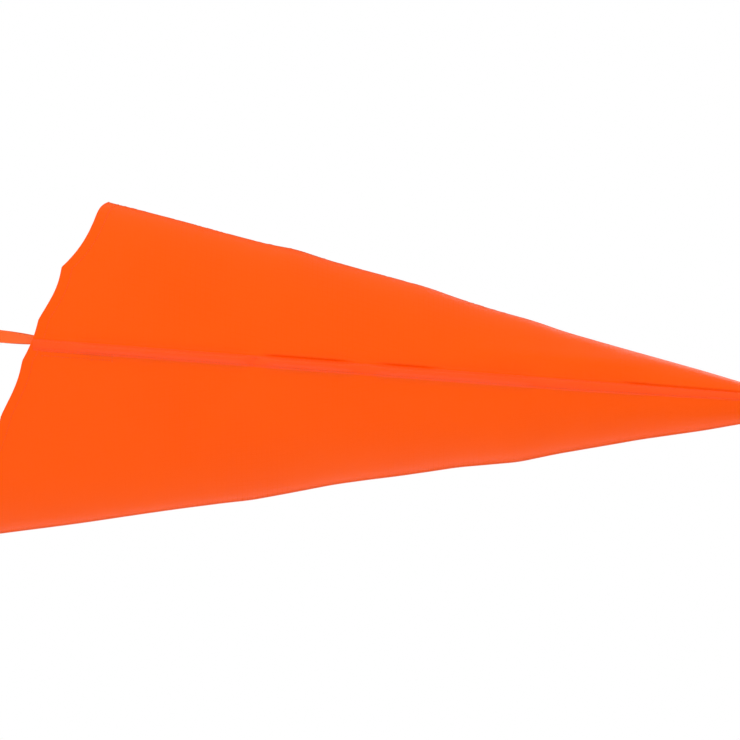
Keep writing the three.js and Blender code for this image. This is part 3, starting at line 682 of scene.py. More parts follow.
near_strip = seam_strip("near_felled_seam", False)
far_strip = seam_strip("far_felled_seam", True)
print("seam strips of", SEAM_ROWS, "rows, from", round(near_seam_start, 1), "mm")

# %% [markdown]
# ## Hems
# The mouth's edge is turned in twice and sewn. From outside only the rolled edge shows, and inside
# there is a band 12 mm wide. The tail's hem is the same, but narrower.

# %% Hem bands
# Round the fold: along the cloth from its edge, and out of it.
HEM_FOLD = (
    (1.2, 0.06), (0.5, 0.04), (0.1, -0.25), (0.0, -0.75), (0.2, -1.3), (0.8, -1.5),
    (6.0, -1.45), (11.6, -1.5), (12.2, -1.2), (12.2, -0.8), (11.8, -0.55), (1.2, -0.55),
)
MOUTH_HEM_WIDTH, TAIL_HEM_WIDTH = 12.2, 9.6


def tail_edge(turn):
    return np.full_like(turn, TAIL)


def hem_band(name, edge_of, towards, width, count, material):
    """A folded band round the sock. towards is 1 where the cloth lies downwind of the edge."""
    along, out = (np.array(v) for v in zip(*HEM_FOLD))
    along = np.where(along > 2, along * width / MOUTH_HEM_WIDTH, along)
    turn = np.repeat(np.linspace(0, 2 * np.pi, count, endpoint=False)[:, None], len(along), axis=1)
    edge = edge_of(turn)
    x = edge + towards * along[None, :]
    points, outward = cloth(x, turn)
    points = points + out[None, :, None] * outward
    if towards < 0:
        points, along = points[:, ::-1], along[::-1]
    length = np.concatenate([[0], np.cumsum(np.linalg.norm(np.diff(points[:, 0], axis=0), axis=-1))])
    across, run = np.broadcast_arrays(along[None, :], length[:, None])
    mesh = strip_mesh(name, placed(points), {"across": across, "run": run}, loop_rows=True)
    return new_piece(name, mesh, material), float(length[-1]) * MM


mouth_band, mouth_length = hem_band("mouth_hem_fold", mouth_at, 1, MOUTH_HEM_WIDTH, 420, HEM_CLOTH)
tail_band, tail_length = hem_band("tail_hem_fold", tail_edge, -1, TAIL_HEM_WIDTH, 96, HEM_CLOTH)
print("hems", round(mouth_length, 3), "and", round(tail_length, 3), "m round")

# %% [markdown]
# ## Recipes that follow a path
# Webbing and stitches follow a line across the cloth, so they are Geometry Nodes recipes. The line is
# a chain of points, each of which also knows the way out of the cloth. A recipe has named inputs for
# its sizes, and its result is turned into a plain mesh.


# %% Recipe class
class Recipe(Graph):
    """A Geometry Nodes tree with named inputs. It ends by making instances real and setting a material."""

    def __init__(self, name, numbers):
        super().__init__(bpy.data.node_groups.new(name, "GeometryNodeTree"))
        sockets = {"Geometry": "NodeSocketGeometry", "Material": "NodeSocketMaterial"}
        sockets.update({label: "NodeSocketFloat" for label in numbers})
        for label, kind in sockets.items():
            self.tree.interface.new_socket(label, in_out="INPUT", socket_type=kind)
        self.tree.interface.new_socket("Geometry", in_out="OUTPUT", socket_type="NodeSocketGeometry")
        self.entry = self.tree.nodes.new("NodeGroupInput")
        self.tree.nodes.new("NodeGroupOutput").name = "end"

    def input(self, label):
        return Signal(self, self.entry.outputs[label])

    def path(self):
        """The starting mesh's edges as a curve."""
        return self.node("GeometryNodeMeshToCurve", inputs={0: self.input("Geometry")})

    def named(self, label, kind="FLOAT"):
        """A value that is stored at every point under a name."""
        return self.node("GeometryNodeInputNamedAttribute", {"data_type": kind}, {"Name": label})

    def store(self, geometry, label, value):
        settings = {"data_type": "FLOAT", "domain": "POINT"}
        inputs = {"Geometry": geometry, "Name": label, "Value": value}
        return self.node("GeometryNodeStoreNamedAttribute", settings, inputs)

    def sweep(self, curve, profile, **others):
        """A profile carried along a curve."""
        inputs = {"Curve": curve, "Profile Curve": profile, **others}
        return self.node("GeometryNodeCurveToMesh", inputs=inputs)

    def rounded_box(self, width, height, corner):
        """A flat rectangle's outline with round corners."""
        sides = {"Width": width, "Height": height}
        outline = self.node("GeometryNodeCurvePrimitiveQuadrilateral", {"mode": "RECTANGLE"}, sides)
        corners = {"Curve": outline, "Radius": corner, "Count": 3}
        return self.node("GeometryNodeFilletCurve", {"mode": "POLY"}, corners)

    def circle(self, points, radius):
        values = {"Resolution": points, "Radius": radius}
        return self.node("GeometryNodeCurvePrimitiveCircle", {"mode": "RADIUS"}, values)

    def end(self, geometry):
        real = self.node("GeometryNodeRealizeInstances", inputs={"Geometry": geometry})
        smooth = self.node("GeometryNodeSetShadeSmooth", inputs={0: real})
        values = {"Geometry": smooth, "Material": self.input("Material")}
        made = self.node("GeometryNodeSetMaterial", inputs=values)
        self.tree.links.new(made.socket, self.tree.nodes["end"].inputs[0])
        return self

    def make(self, name, start, material, **sizes):
        """Runs the recipe on a starting mesh and returns the result as a plain piece."""
        holder = bpy.data.objects.new(name + "_start", start)
        bpy.context.scene.collection.objects.link(holder)
        step = holder.modifiers.new("recipe", "NODES")
        step.node_group = self.tree
        values = {"Material": material, **{k.replace("_", " ").capitalize(): v for k, v in sizes.items()}}
        for item in self.tree.interface.items_tree:
            if item.in_out == "INPUT" and item.name in values:
                step[item.identifier] = values[item.name]
        shape = holder.evaluated_get(bpy.context.evaluated_depsgraph_get())
        mesh = bpy.data.meshes.new_from_object(shape)
        mesh.name = name
        bpy.data.objects.remove(holder)
        made = bpy.data.objects.new(name, mesh)
        bpy.context.scene.collection.objects.link(made)
        print(name, len(mesh.polygons), "faces")
        return made


def path_mesh(name, chains):
    """Chains of points in metres as edges. Each chain is (points, outward)."""
    points, edges, outward = [], [], []
    for chain, ways in chains:
        first = len(points)
        points += [tuple(p) for p in chain]
        outward += [tuple(w) for w in ways]
        edges += [(i, i + 1) for i in range(first, len(points) - 1)]
    mesh = bpy.data.meshes.new(name)
    mesh.from_pydata(points, edges, [])
    made = mesh.attributes.new("outward", "FLOAT_VECTOR", "POINT")
    made.data.foreach_set("vector", np.array(outward, np.float32).ravel())
    return mesh


# %% Stitch recipe
stitching = Recipe("stitch_row", ["Pitch", "Stitch length", "Thread width"])
spacing = {"Curve": stitching.path(), "Length": stitching.input("Pitch")}
places = stitching.node("GeometryNodeResampleCurve", {"mode": "LENGTH"}, spacing)
tangent = stitching.node("GeometryNodeInputTangent")
facing = stitching.node("FunctionNodeAlignRotationToVector", {"axis": "X"}, {"Vector": tangent})
facing = stitching.node(
    "FunctionNodeAlignRotationToVector",
    {"axis": "Z", "pivot_axis": "X"},
    {"Rotation": facing, "Vector": stitching.named("outward", "FLOAT_VECTOR")},
)
bead = stitching.node("GeometryNodeMeshUVSphere", inputs={"Segments": 8, "Rings": 5, "Radius": 0.5})
stitch_length, thread_width = stitching.input("Stitch length"), stitching.input("Thread width")
size = stitching.node("ShaderNodeCombineXYZ", inputs={0: stitch_length, 1: thread_width, 2: thread_width})
stitch = stitching.node("GeometryNodeTransform", inputs={"Geometry": bead, "Scale": size})
spread = stitching.node(
    "GeometryNodeInstanceOnPoints", inputs={"Points": places, "Instance": stitch, "Rotation": facing}
)
stitching.end(spread)
print("stitch recipe ready")

# %% [markdown]
# ## Bridle webbing
# One strap of 13 mm webbing goes in at the mouth on both sides and is sewn inside along the seams.
# Its two legs run forward, come together, are sewn to each other, and loop round the swivel's bar.

# %% Webbing recipe
webbing = Recipe("webbing_along_path", ["Width", "Thickness", "Rounding"])
facing_out = {"Curve": webbing.path(), "Normal": webbing.named("outward", "FLOAT_VECTOR")}
line = webbing.node("GeometryNodeSetCurveNormal", {"mode": "FREE"}, facing_out)
run = webbing.node("GeometryNodeSplineParameter", output="Length")
line = webbing.store(line, "run", run * 1000.0)
thickness, width = webbing.input("Thickness"), webbing.input("Width")
profile = webbing.rounded_box(thickness, width, webbing.input("Rounding"))
profile = webbing.node("GeometryNodeSubdivideCurve", inputs={"Curve": profile, "Cuts": 2})
sideways = webbing.part(webbing.node("GeometryNodeInputPosition"), 1)
profile = webbing.store(profile, "across", sideways * 1000.0)
webbing.end(webbing.sweep(line, profile, **{"Fill Caps": True}))
print("webbing recipe ready")

# %% Path of the bridle
STRAP_WIDTH, STRAP_THICK = 13.0, 1.3
SEWN_LENGTH = 80.0
LINE_SLOPE = 0.11
slope = math.atan(LINE_SLOPE)
ahead = np.array([math.cos(slope), 0.0, -math.sin(slope)])
across_line = np.array([0.0, 1.0, 0.0])
up_line = np.array([math.sin(slope), 0, math.cos(slope)])
BAR_DISTANCE, BAR_RADIUS, BAR_GAP = 76.0, 2.0, 0.15
# Along the line from the hinge: where the two legs come together, and where they part for the bar.
LEGS_MEET, LEGS_TOGETHER, LEGS_PART = 104.0, 96.0, 87.0
# Half the distance between the legs' middles at those places.
MEET_OFFSET, TOGETHER_OFFSET, PART_OFFSET = 0.85, 0.8, 1.1
LEG_INSET, MOUTH_INSET = 4.4, 4.6
TWIST = math.radians(46)


def smooth_through(knots, spacing):
    """Evenly spaced points on a smooth curve through the knots."""
    knots = np.array(knots, float)
    ends = np.concatenate([2 * knots[:1] - knots[1:2], knots, 2 * knots[-1:] - knots[-2:-1]])
    pieces = []
    for a, b, c, d in zip(ends, ends[1:], ends[2:], ends[3:]):
        t = np.linspace(0, 1, 24, endpoint=False)[:, None]
        curve = 2 * b + (c - a) * t + (2 * a - 5 * b + 4 * c - d) * t**2 + (3 * b - a - 3 * c + d) * t**3
        pieces.append(0.5 * curve)
    dense = np.concatenate(pieces + [knots[-1:]])
    length = np.concatenate([[0], np.cumsum(np.linalg.norm(np.diff(dense[:, :3], axis=0), axis=1))])
    even = np.linspace(0, length[-1], int(length[-1] / spacing) + 1)
    return np.stack([np.interp(even, length, column) for column in dense.T], axis=1)


def on_line(x, y=0.0, z=0.0):
    """A place given along, across and above the taut line, from the hinge."""
    return x * ahead + y * across_line + z * up_line


def round_bar(half_turns):
    """Knots on the strap's middle round the swivel's bar."""
    offset = BAR_RADIUS + BAR_GAP + STRAP_THICK / 2
    ways = [on_line(math.cos(a), math.sin(a)) for a in half_turns * np.pi]
    return [[*(on_line(BAR_DISTANCE) + offset * way), *way] for way in ways]


def strap_path():
    """Knots of the strap's near half: place and way out, from its sewn end to the swivel's bar."""
    knots = []
    x = near_seam_start + np.linspace(SEWN_LENGTH, 1.0, 9)
    points, outward = cloth(x, seam_turn(x))
    twists = bell(x, x[-1], 16.0)
    for point, way, twist in zip(points, outward, twists):
        turned = way * math.cos(TWIST * twist) + np.array([0, 0, math.sin(TWIST * twist)])
        knots.append([*(point - (LEG_INSET + MOUTH_INSET * twist) * way), *turned])
    mouth = np.array(knots[-1][:3])
    for share, twist in ((0.95, 0.9), (0.88, 0.55), (0.78, 0.15), (0.6, 0), (0.35, 0), (0.1, 0)):
        reach = LEGS_MEET + (mouth[0] - LEGS_MEET) * share
        point = on_line(reach, -MEET_OFFSET + (mouth[1] + MEET_OFFSET) * share)
        knots.append([*point, 0.25, -0.97 * math.cos(TWIST * twist), math.sin(TWIST * twist)])
    knots.append([*on_line(LEGS_TOGETHER, -TOGETHER_OFFSET), 0.05, -1, 0])
    knots.append([*on_line(LEGS_PART, -PART_OFFSET), -0.1, -1, 0])
    return knots + round_bar(np.linspace(-0.42, -0.5, 2))


def mirrored(knots):
    return [[x, -y, z, a, -b, c] for x, y, z, a, b, c in reversed(knots)]


near_half = strap_path()
bar_turn = round_bar(np.linspace(-0.5, -1.5, 9)[1:-1])
strap_line = smooth_through(near_half + bar_turn + mirrored(near_half), 2.0)
strap_chain = [(placed(strap_line[:, :3]), strap_line[:, 3:])]
bridle = webbing.make(
    "bridle_webbing",
    path_mesh("bridle_path", strap_chain),
    WEBBING,
    width=STRAP_WIDTH * MM,
    thickness=STRAP_THICK * MM,
    rounding=0.5 * MM,
)
strap_length = float(np.linalg.norm(np.diff(strap_line[:, :3], axis=0), axis=1).sum())
print("strap length", round(strap_length), "mm")

# %% [markdown]
# ## Sewing
# Two rows of stitches hold each seam strip, one row holds each hem, and a long box of stitches holds
# each leg of the strap inside the seam. The strap's legs are bar-tacked to each other next to the
# swivel. The same recipe sews them all.

# %% Rows of stitches
PITCH, STITCH, THREAD_WIDTH = 3.0, 2.3, 0.5
SEAM_ROW_PLACES = (0.5, 8.3)
# How far out a thread's middle lies: on a panel, on a strap's leg, on a strip, and inside the mouth's hem.
ON_CLOTH, ON_STRAP, ON_STRIP, INSIDE_HEM = 0.12, 0.14, 0.82, -1.62


def seam_rows(far):
    chains = []
    for below in SEAM_ROW_PLACES:
        x = np.linspace(near_seam_start + 2, TAIL - 2, 420)[:, None]
        points, outward = beside_seam(x, below * strip_share(x), far)
        chains.append((placed(points + ON_STRIP * outward)[:, 0], outward[:, 0]))
    return chains


def hem_row(edge_of, setback, lift, count):
    turn = np.linspace(0.02, 2 * np.pi - 0.02, count)
    points, outward = cloth(edge_of(turn) + setback, turn)
    return [(placed(points + lift * outward), outward)]


def strap_rows(far):
    """Stitches that come through to the outside, along and across the hidden leg."""
    chains = []
    start, end = near_seam_start + 9, near_seam_start + SEWN_LENGTH - 3
    for below in (10.4, 14.6):
        x = np.linspace(start, end, 40)[:, None]
        points, outward = beside_seam(x, np.full_like(x, below), far)
        chains.append((placed(points + ON_STRAP * outward)[:, 0], outward[:, 0]))
    for place in (start, start + 20, end - 20, end):
        x = np.full((1, 8), place)
        points, outward = beside_seam(x, np.linspace(9.6, 15.4, 8)[None, :], far)
        chains.append((placed(points + ON_STRAP * outward)[0], outward[0]))
    return chains


def bar_tacks():
    """Close zigzags across the two legs, where they are sewn together next to the bar."""
    chains = []
    heights = np.linspace(-5.0, 5.0, 9)
    for side in (-1, 1):
        for reach in (90, 92, 94, 100, 102, 104):
            out = PART_OFFSET + STRAP_THICK / 2 + 0.05 + 0.02 * (reach - 90)
            line = np.array([on_line(reach, side * out, h) for h in heights])
            chains.append((placed(line), np.tile([0, side, 0], (len(heights), 1))))
    return chains


sewing = {
    "near_seam_stitches": seam_rows(False),
    "far_seam_stitches": seam_rows(True),
    "mouth_hem_stitches": hem_row(mouth_at, 10.2, ON_CLOTH, 700),
    "mouth_hem_inner_stitches": hem_row(mouth_at, 10.2, INSIDE_HEM, 700),
    "tail_hem_stitches": hem_row(tail_edge, -7.8, ON_CLOTH, 120),
    "near_strap_stitches": strap_rows(False),
    "far_strap_stitches": strap_rows(True),
    "bridle_bar_tacks": bar_tacks(),
}
stitches = {}
for name, chains in sewing.items():
    close = name == "bridle_bar_tacks"
    stitches[name] = stitching.make(
        name,
        path_mesh(name + "_path", chains),
        THREAD,
        pitch=(1.3 if close else PITCH) * MM,
        stitch_length=(1.25 if close else STITCH) * MM,
        thread_width=THREAD_WIDTH * MM,
    )

print("groups of stitches:", len(stitches))

# %% [markdown]
# ## Ride and replace
# Every cloth piece rides on the sock's body and stands for the solid that holds its place. The panels,
# seam strips and hems are sheets, so the area each covers is printed next to the area of its cut. Thread
# and webbing go with them.


# %% Soft pieces on the sock
def sew_on(piece, node):
    if node:
        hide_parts(node)
    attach(piece, "sock")


sew_on(upper_panel, "upper_panel")
sew_on(lower_panel, "lower_panel")
sew_on(near_strip, "near_seam_tape")
sew_on(far_strip, "far_seam_tape")
sew_on(mouth_band, "mouth_hem")
sew_on(tail_band, "tail_hem")
sew_on(bridle, "bridle_strap")
for piece in stitches.values():
    sew_on(piece, None)


def cloth_area(piece):
    """Half the area of a closed thin sheet, in square metres."""
    return sum(face.area for face in piece.data.polygons) / 2


PANEL_CUTS = {upper_panel: (0.300, 0.740), lower_panel: (0.430, 0.840)}
for piece, cut in PANEL_CUTS.items():
    area = cloth_area(piece)
    print(piece.name, "covers", round(area, 4), "of", round(cut[0] * cut[1], 4), "square metres")
for piece, width, length in (
    (near_strip, 0.012, 0.740),
    (far_strip, 0.012, 0.740),
    (mouth_band, 0.014, mouth_length),
    (tail_band, 0.012, tail_length),
):
    area = cloth_area(piece)
    print(piece.name, "covers", round(area, 5), "of", round(width * length, 5), "square metres")
    cut = (width, round(length, 3))

# %% [markdown]
# ## Finishes of the hard parts
# The tubes are drawn and anodised, so fine lines run along them and they wear bright where one slides
# in another. The plate and socket are powder coated, which leaves a fine orange-peel surface that
# picks up dust near the ground. Moulded parts have a fine spark texture. The small fittings are
# stainless steel, brushed and a little smeared by handling.

# %% Metals
def drawn_aluminium():
    finish = Finish("anodised_aluminium", {"Metallic": 1.0, "Anisotropic": 0.0})
    lines = finish.noise(finish.stretched(900, 900, 6), 1.0, 2.0)
    rubs = finish.noise(finish.stretched(160, 160, 3), 1.0, 4.0).between(0.56, 0.75)
    cloud = finish.noise(finish.object_place(), 14.0)
    base = finish.mix(cloud, (0.56, 0.57, 0.59, 1), (0.66, 0.67, 0.68, 1))
    base = finish.mix(rubs * 0.5, base, (0.82, 0.83, 0.84, 1))
    rough = 0.30 + lines * 0.14 + cloud * 0.06 - rubs * 0.08
    return finish.surface(base, rough, finish.bump(lines, 0.02 * MM, 0.5))


def brushed_steel():
    finish = Finish("stainless_steel", {"Metallic": 1.0})
    lines = finish.noise(finish.stretched(260, 1800, 1800), 1.0, 2.0)
    smear = finish.noise(finish.object_place(), 60.0)
    base = finish.mix(smear, (0.50, 0.49, 0.475, 1), (0.64, 0.635, 0.62, 1))
    rough = 0.22 + lines * 0.12 + smear * 0.12
    return finish.surface(base, rough, finish.bump(lines, 0.015 * MM, 0.5))


# %% Powder coat, moulded plastic and rubber
def powder_coat():
    finish = Finish("black_powder_coat", {"Specular IOR Level": 0.5, "Coat Roughness": 0.3})
    place = finish.object_place()
    peel = finish.noise(place, 900.0, 2.0)
    cloud = finish.noise(place, 40.0, 8.0)
    upward = finish.part(finish.node("ShaderNodeNewGeometry", output="Normal"), 2)
    near_ground = finish.part(place, 2).between(0.12, 0.0)
    dust = upward.between(0.4, 1.0) * cloud.between(0.3, 0.7) * near_ground
    scuffs = finish.noise(finish.stretched(30, 400, 400), 1.0, 3.0).between(0.66, 0.74)
    base = finish.mix(cloud, (0.018, 0.019, 0.020, 1), (0.030, 0.031, 0.033, 1))
    base = finish.mix(dust * 0.07, base, (0.30, 0.27, 0.23, 1))
    base = finish.mix(scuffs * 0.3, base, (0.14, 0.14, 0.145, 1))
    rough = 0.44 + peel * 0.10 + dust * 0.3
    return finish.surface(base, rough, finish.bump(peel, 0.10 * MM, 0.6))


def moulded(name, dark, light, roughness, grain_scale, grain_depth):
    """A dyed material with a fine grain. It goes a little paler and smoother where it is rubbed."""
    finish = Finish(name, {"Specular IOR Level": 0.45})
    place = finish.object_place()
    grain = finish.noise(place, grain_scale, 2.0)
    cloud = finish.noise(place, 45.0, 3.0)
    rubbed = cloud.between(0.58, 0.75)
    base = finish.mix(cloud, dark, light)
    base = finish.mix(rubbed * 0.35, base, (0.07, 0.07, 0.072, 1))
    rough = roughness + grain * 0.12 - rubbed * 0.08
    return finish.surface(base, rough, finish.bump(grain, grain_depth, 0.7))


ALUMINIUM, STEEL, COAT = drawn_aluminium(), brushed_steel(), powder_coat()
PLASTIC = moulded(
    "moulded_black_plastic", (0.014, 0.014, 0.015, 1), (0.022, 0.022, 0.023, 1), 0.40, 1300, 0.05 * MM
)
RUBBER = moulded(
    "ribbed_rubber", (0.012, 0.012, 0.012, 1), (0.020, 0.019, 0.018, 1), 0.72, 700, 0.12 * MM
)
HARD_FINISHES = {
    "aluminium": ALUMINIUM,
    "steel": STEEL,
    "dark_paint": COAT,
    "black_plastic": PLASTIC,
    "rubber": RUBBER,
}
print("hard finishes:", sorted(HARD_FINISHES))

# %% [markdown]
# ## Drawn tubes
# A tube is its wall's outline carried round a circle. The CAD tubes have flats, which show on a bright
# metal, so each is made again by a recipe with a finely divided circle and rounded rims.

# %% Tube recipe
tubing = Recipe("drawn_tube", ["Radius", "Wall", "Bottom", "Top", "Lip"])
radius, wall = tubing.input("Radius"), tubing.input("Wall")
bottom, top = tubing.input("Bottom"), tubing.input("Top")
rim = tubing.rounded_box(wall, top - bottom, tubing.input("Lip"))
pipe = tubing.sweep(tubing.circle(96, radius - wall * 0.5), rim)
lift = tubing.node("ShaderNodeCombineXYZ", inputs={2: (bottom + top) * 0.5})
tubing.end(tubing.node("GeometryNodeTransform", inputs={"Geometry": pipe, "Translation": lift}))

TUBES = {"lower_tube": "lower_pole", "mid_tube": "mid_pole", "top_tube": "top_pole"}
TUBE_WALL, TUBE_LIP = 1.5 * MM, 0.4 * MM
for node, body in TUBES.items():
    low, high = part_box(node)
    piece = tubing.make(
        node + "_drawn",
        path_mesh(node + "_start", []),
        ALUMINIUM,
        radius=(high.x - low.x) / 2,
        wall=TUBE_WALL,
        bottom=low.z,
        top=high.z,
        lip=TUBE_LIP,
    )
    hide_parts(node)
    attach(piece, body)

# %% [markdown]
# ## Bent wire and turned bar
# The boom, the hook and the bail are steel rod that is bent or turned, so they are round everywhere.
# One recipe makes them all: it carries a circle along a path, and each point of the path says how thick
# the rod is there. A turned shape is then only a straight path whose thickness changes.

# %% Rod recipe
rods = Recipe("round_rod", ["Sides"])
unit_circle = rods.circle(rods.input("Sides"), 1.0)
rods.end(rods.sweep(rods.path(), unit_circle, Scale=rods.named("reach"), **{"Fill Caps": True}))


def rod_piece(name, chains, body, finish=STEEL, sides=28):
    """A round piece from chains of (points, radii, closed), in millimetres from the hinge."""
    points, radii, edges = [], [], []
    for chain, reaches, closed in chains:
        first = len(points)
        points += placed(np.array(chain, float)).tolist()
        radii += [radius * MM for radius in reaches]
        edges += [(i, i + 1) for i in range(first, len(points) - 1)]
        if closed:
            edges.append((len(points) - 1, first))
    start = bpy.data.meshes.new(name + "_path")
    start.from_pydata(points, edges, [])
    start.attributes.new("reach", "FLOAT", "POINT").data.foreach_set("value", radii)
    made = rods.make(name, start, finish, sides=sides)
    made.data.set_sharp_from_angle(angle=math.radians(50))
    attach(made, body)
    return made


# %% Shapes of rod
# A corner is cut by at most this share of its sides. Points step on by a hair, so that none share a
# place, and a rod is never thinner than THINNEST.
LONGEST_CUT, STEP_ON, THINNEST = 0.3, 0.001, 0.02


def turned_bar(profile, softness=0.3, frame_of=on_line):
    """A straight chain from (distance, radius) corners, each corner cut off twice to round it."""
    corners = np.array(profile, float)
    for _ in range(2):
        steps = np.diff(corners, axis=0)
        lengths = np.maximum(np.hypot(*steps.T), 1e-6)[:, None]
        cut = np.minimum(softness, LONGEST_CUT * lengths) / lengths
        pairs = np.stack([corners[:-1] + cut * steps, corners[1:] - cut * steps], axis=1).reshape(-1, 2)
        corners = np.concatenate([corners[:1], pairs, corners[-1:]])
        softness = softness / 3
    corners[:, 0] += STEP_ON * np.arange(len(corners))
    return [frame_of(x) for x, _ in corners], np.maximum(corners[:, 1], THINNEST).tolist(), False


def arc(centre, radius, first, last, count):
    """Points (along, sideways) round a centre on the line, between two angles in half turns."""
    angles = np.linspace(first, last, count) * np.pi
    return [(centre + radius * math.cos(a), radius * math.sin(a)) for a in angles]


print("rod recipe ready")

# %% Boom, hook and bail
BOOM_START, BOOM_RADIUS, EYE_RADIUS = 12.5, 3.0, 9.0
HOOK_WIRE, HOOK_HALF_WIDTH, HOOK_NOSE, HOOK_TAIL, GATE_START = 2.0, 8.0, 11.6, 34.0, 15.6
BARREL_START, BARREL_END, BARREL_RADIUS = 42.5, 55.0, 4.5
BAIL_WIRE, BAIL_HALF_WIDTH, BAIL_BEND, BAIL_STEM_START = 2.0, 10.0, 70.0, 50.0



def level(x):
    """A place on the boom, which runs level through the hinge."""
    return np.array([x, 0.0, 0.0])


inner_end = BOOM_START - HINGE[0]
# The rod swells where it is forged into the eye.
boom_profile = [(inner_end, 0), (inner_end, BOOM_RADIUS), (-24, BOOM_RADIUS)]
boom_profile += [(-12, 3.5), (-9, 3.7), (-7.6, 2.6)]
eye_ring = [(x, 0, z) for x, z in arc(0, EYE_RADIUS, 0, 2, 49)[:-1]]
boom_chains = [turned_bar(boom_profile, 0.5, level), (eye_ring, [BOOM_RADIUS] * len(eye_ring), True)]
boom_piece = rod_piece("boom_and_eye", boom_chains, "head")
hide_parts("boom")

hook_path = [(GATE_START - 0.6 - i * 0.5, -HOOK_HALF_WIDTH) for i in range(5)]
hook_path += arc(HOOK_NOSE, HOOK_HALF_WIDTH, 1.5, 0.5, 33) + arc(HOOK_TAIL, HOOK_HALF_WIDTH, 0.5, -0.5, 33)
hook_radii = [HOOK_WIRE] * len(hook_path)
hook_radii[:4] = [0.5, 1.3, 1.75, 1.95]
# The gate turns between two cheeks, each of three thin bars side by side.
CHEEK_PLACES, CHEEK_RADII = (28.6, 28.9, 29.6, 35.0, 35.7, 36.0), (0.3, 0.6, 0.7, 0.7, 0.6, 0.3)
CHEEK_OFFSET = 2.9
cheek_bars = []
for side in (-1, 1):
    for step in (-1, 0, 1):
        cheek = [on_line(x, step - HOOK_HALF_WIDTH, side * CHEEK_OFFSET) for x in CHEEK_PLACES]
        cheek_bars.append((cheek, CHEEK_RADII, False))
# The swivel's barrel has a groove rolled round it, and its end is bored for the bail's stem.
barrel_profile = [
    (BARREL_START, 0), (BARREL_START, 3.6), (44.5, BARREL_RADIUS), (46.6, BARREL_RADIUS), (47.0, 4.1),
    (47.6, 4.1), (48.0, BARREL_RADIUS), (BARREL_END, BARREL_RADIUS), (BARREL_END, 3.0),
    (BARREL_END - 0.8, 2.7), (BARREL_END - 0.8, 0),
]
hook_chains = [
    ([on_line(x, y) for x, y in hook_path], hook_radii, False),
    turned_bar(barrel_profile),
    *cheek_bars,
]
hook_piece = rod_piece("snap_hook_body", hook_chains, "hook")
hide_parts("snap_hook")

bow_path = [(BAR_DISTANCE, -BAIL_HALF_WIDTH)]
bow_path += arc(BAIL_BEND, BAIL_HALF_WIDTH, 1.5, 0.5, 33) + [(BAR_DISTANCE, BAIL_HALF_WIDTH)]
stem_profile = [(BAIL_STEM_START, 0), (BAIL_STEM_START, BAIL_WIRE), (57.0, BAIL_WIRE)]
stem_profile += [(58.5, 2.5), (60.5, 2.6), (61.2, 1.2)]
bar_ends = (-12.0, -11.85, -11.4, -10.6, 10.6, 11.4, 11.85, 12.0)
bar_radii = [0.6, 1.3, 1.8, BAIL_WIRE, BAIL_WIRE, 1.8, 1.3, 0.6]
bail_chains = [
    turned_bar(stem_profile),
    ([on_line(x, 0, z) for x, z in bow_path], [BAIL_WIRE] * len(bow_path), False),
    ([on_line(BAR_DISTANCE, 0, z) for z in bar_ends], bar_radii, False),
]
bail_piece = rod_piece("swivel_bail_body", bail_chains, "sock")
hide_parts("swivel_bail")

# %% Dust cap
# The cap over the swivel is a moulded dome with a fingernail groove round its rim.
cap_low, cap_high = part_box("dust_cap")
CAP_RADIUS = (cap_high.x - cap_low.x) / 2 / MM
CAP_TOP = cap_high.z / MM
CAP_RIM, CAP_SIDE, GROOVE_DEPTH, CAP_SINK = -12.2, -8.5, 0.6, 0.1
dome_angles = np.linspace(0, math.pi / 2, 16)
cap_profile = [(CAP_RIM, 0), (CAP_RIM, CAP_RADIUS), (-10.8, CAP_RADIUS), (-10.6, CAP_RADIUS - GROOVE_DEPTH)]
cap_profile += [(-10.0, CAP_RADIUS - GROOVE_DEPTH), (-9.8, CAP_RADIUS)]
cap_profile += [(CAP_SIDE - CAP_SIDE * math.sin(a), CAP_RADIUS * math.cos(a)) for a in dome_angles]


def over_head(z):
    """A place on the head's axis, a little under its height from the cap's top."""
    return np.array([0.0, 0.0, CAP_TOP + z - CAP_SINK]) - [HINGE[0], 0.0, HINGE[2]]


cap_chains = [turned_bar(cap_profile, 0.3, over_head)]
cap_piece = rod_piece("dust_cap_dome", cap_chains, "head", PLASTIC, 72)
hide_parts("dust_cap")

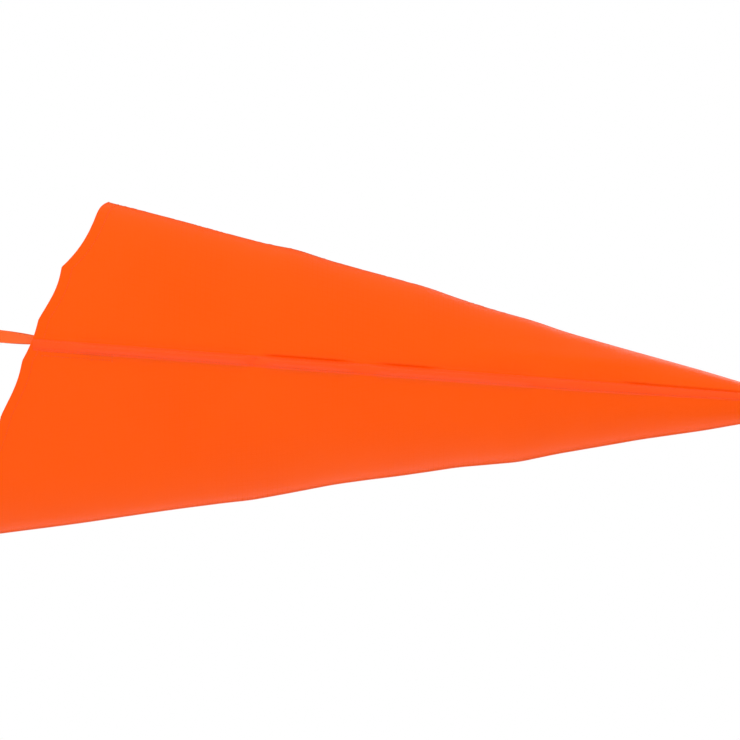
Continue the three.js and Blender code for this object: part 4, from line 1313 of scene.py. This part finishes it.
# %% [markdown]
# ## Soft edges on the CAD parts
# A real machined or moulded edge is slightly rounded and catches the light. The CAD meshes are loose
# triangles with flat shading. A live recipe merges them and shades round faces smooth, and a Bevel
# modifier then rounds the sharp edges, so the meshes themselves stay as they are.

# %% Soft edges
softening = Graph(bpy.data.node_groups.new("merge_and_smooth", "GeometryNodeTree"))
for way in ("INPUT", "OUTPUT"):
    softening.tree.interface.new_socket("Geometry", in_out=way, socket_type="NodeSocketGeometry")
entry = Signal(softening, softening.tree.nodes.new("NodeGroupInput").outputs[0])
bare = softening.node("GeometryNodeRemoveAttribute", inputs={"Geometry": entry, "Name": "custom_normal"})
bare = softening.node("GeometryNodeRemoveAttribute", inputs={"Geometry": bare, "Name": "sharp_face"})
merged = softening.node("GeometryNodeMergeByDistance", inputs={"Geometry": bare, "Distance": 0.005 * MM})
bend = softening.node("GeometryNodeInputMeshEdgeAngle", output="Unsigned Angle")
shallow = softening.node("FunctionNodeCompare", {"operation": "LESS_THAN"}, {0: bend, 1: math.radians(32)})
shaded = softening.node(
    "GeometryNodeSetShadeSmooth", {"domain": "EDGE"}, {"Geometry": merged, "Shade Smooth": shallow}
)
softening.tree.links.new(shaded.socket, softening.tree.nodes.new("NodeGroupOutput").inputs[0])

EDGE_RADII = {"base_plate": 0.9, "base_mat": 0.7, "pole_socket": 0.7, "knob_handle": 0.8, "dust_cap": 0.6}
DEFAULT_EDGE = 0.35
shown = 0
for name, node in frame["nodes"].items():
    if node.hide_render:
        continue
    step = node.modifiers.new("merge_and_smooth", "NODES")
    step.node_group = softening.tree
    rounding = node.modifiers.new("rounded_edges", "BEVEL")
    rounding.width = EDGE_RADII.get(name, DEFAULT_EDGE) * MM
    rounding.segments = 2
    rounding.limit_method = "ANGLE"
    rounding.angle_limit = math.radians(34)
    rounding.harden_normals = True
    for material_slot in node.material_slots:
        material_slot.material = HARD_FINISHES[material_slot.material.name.split(".")[0]]
    shown += 1
print("CAD parts finished:", shown)

# %% Sizes and finish
low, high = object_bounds()
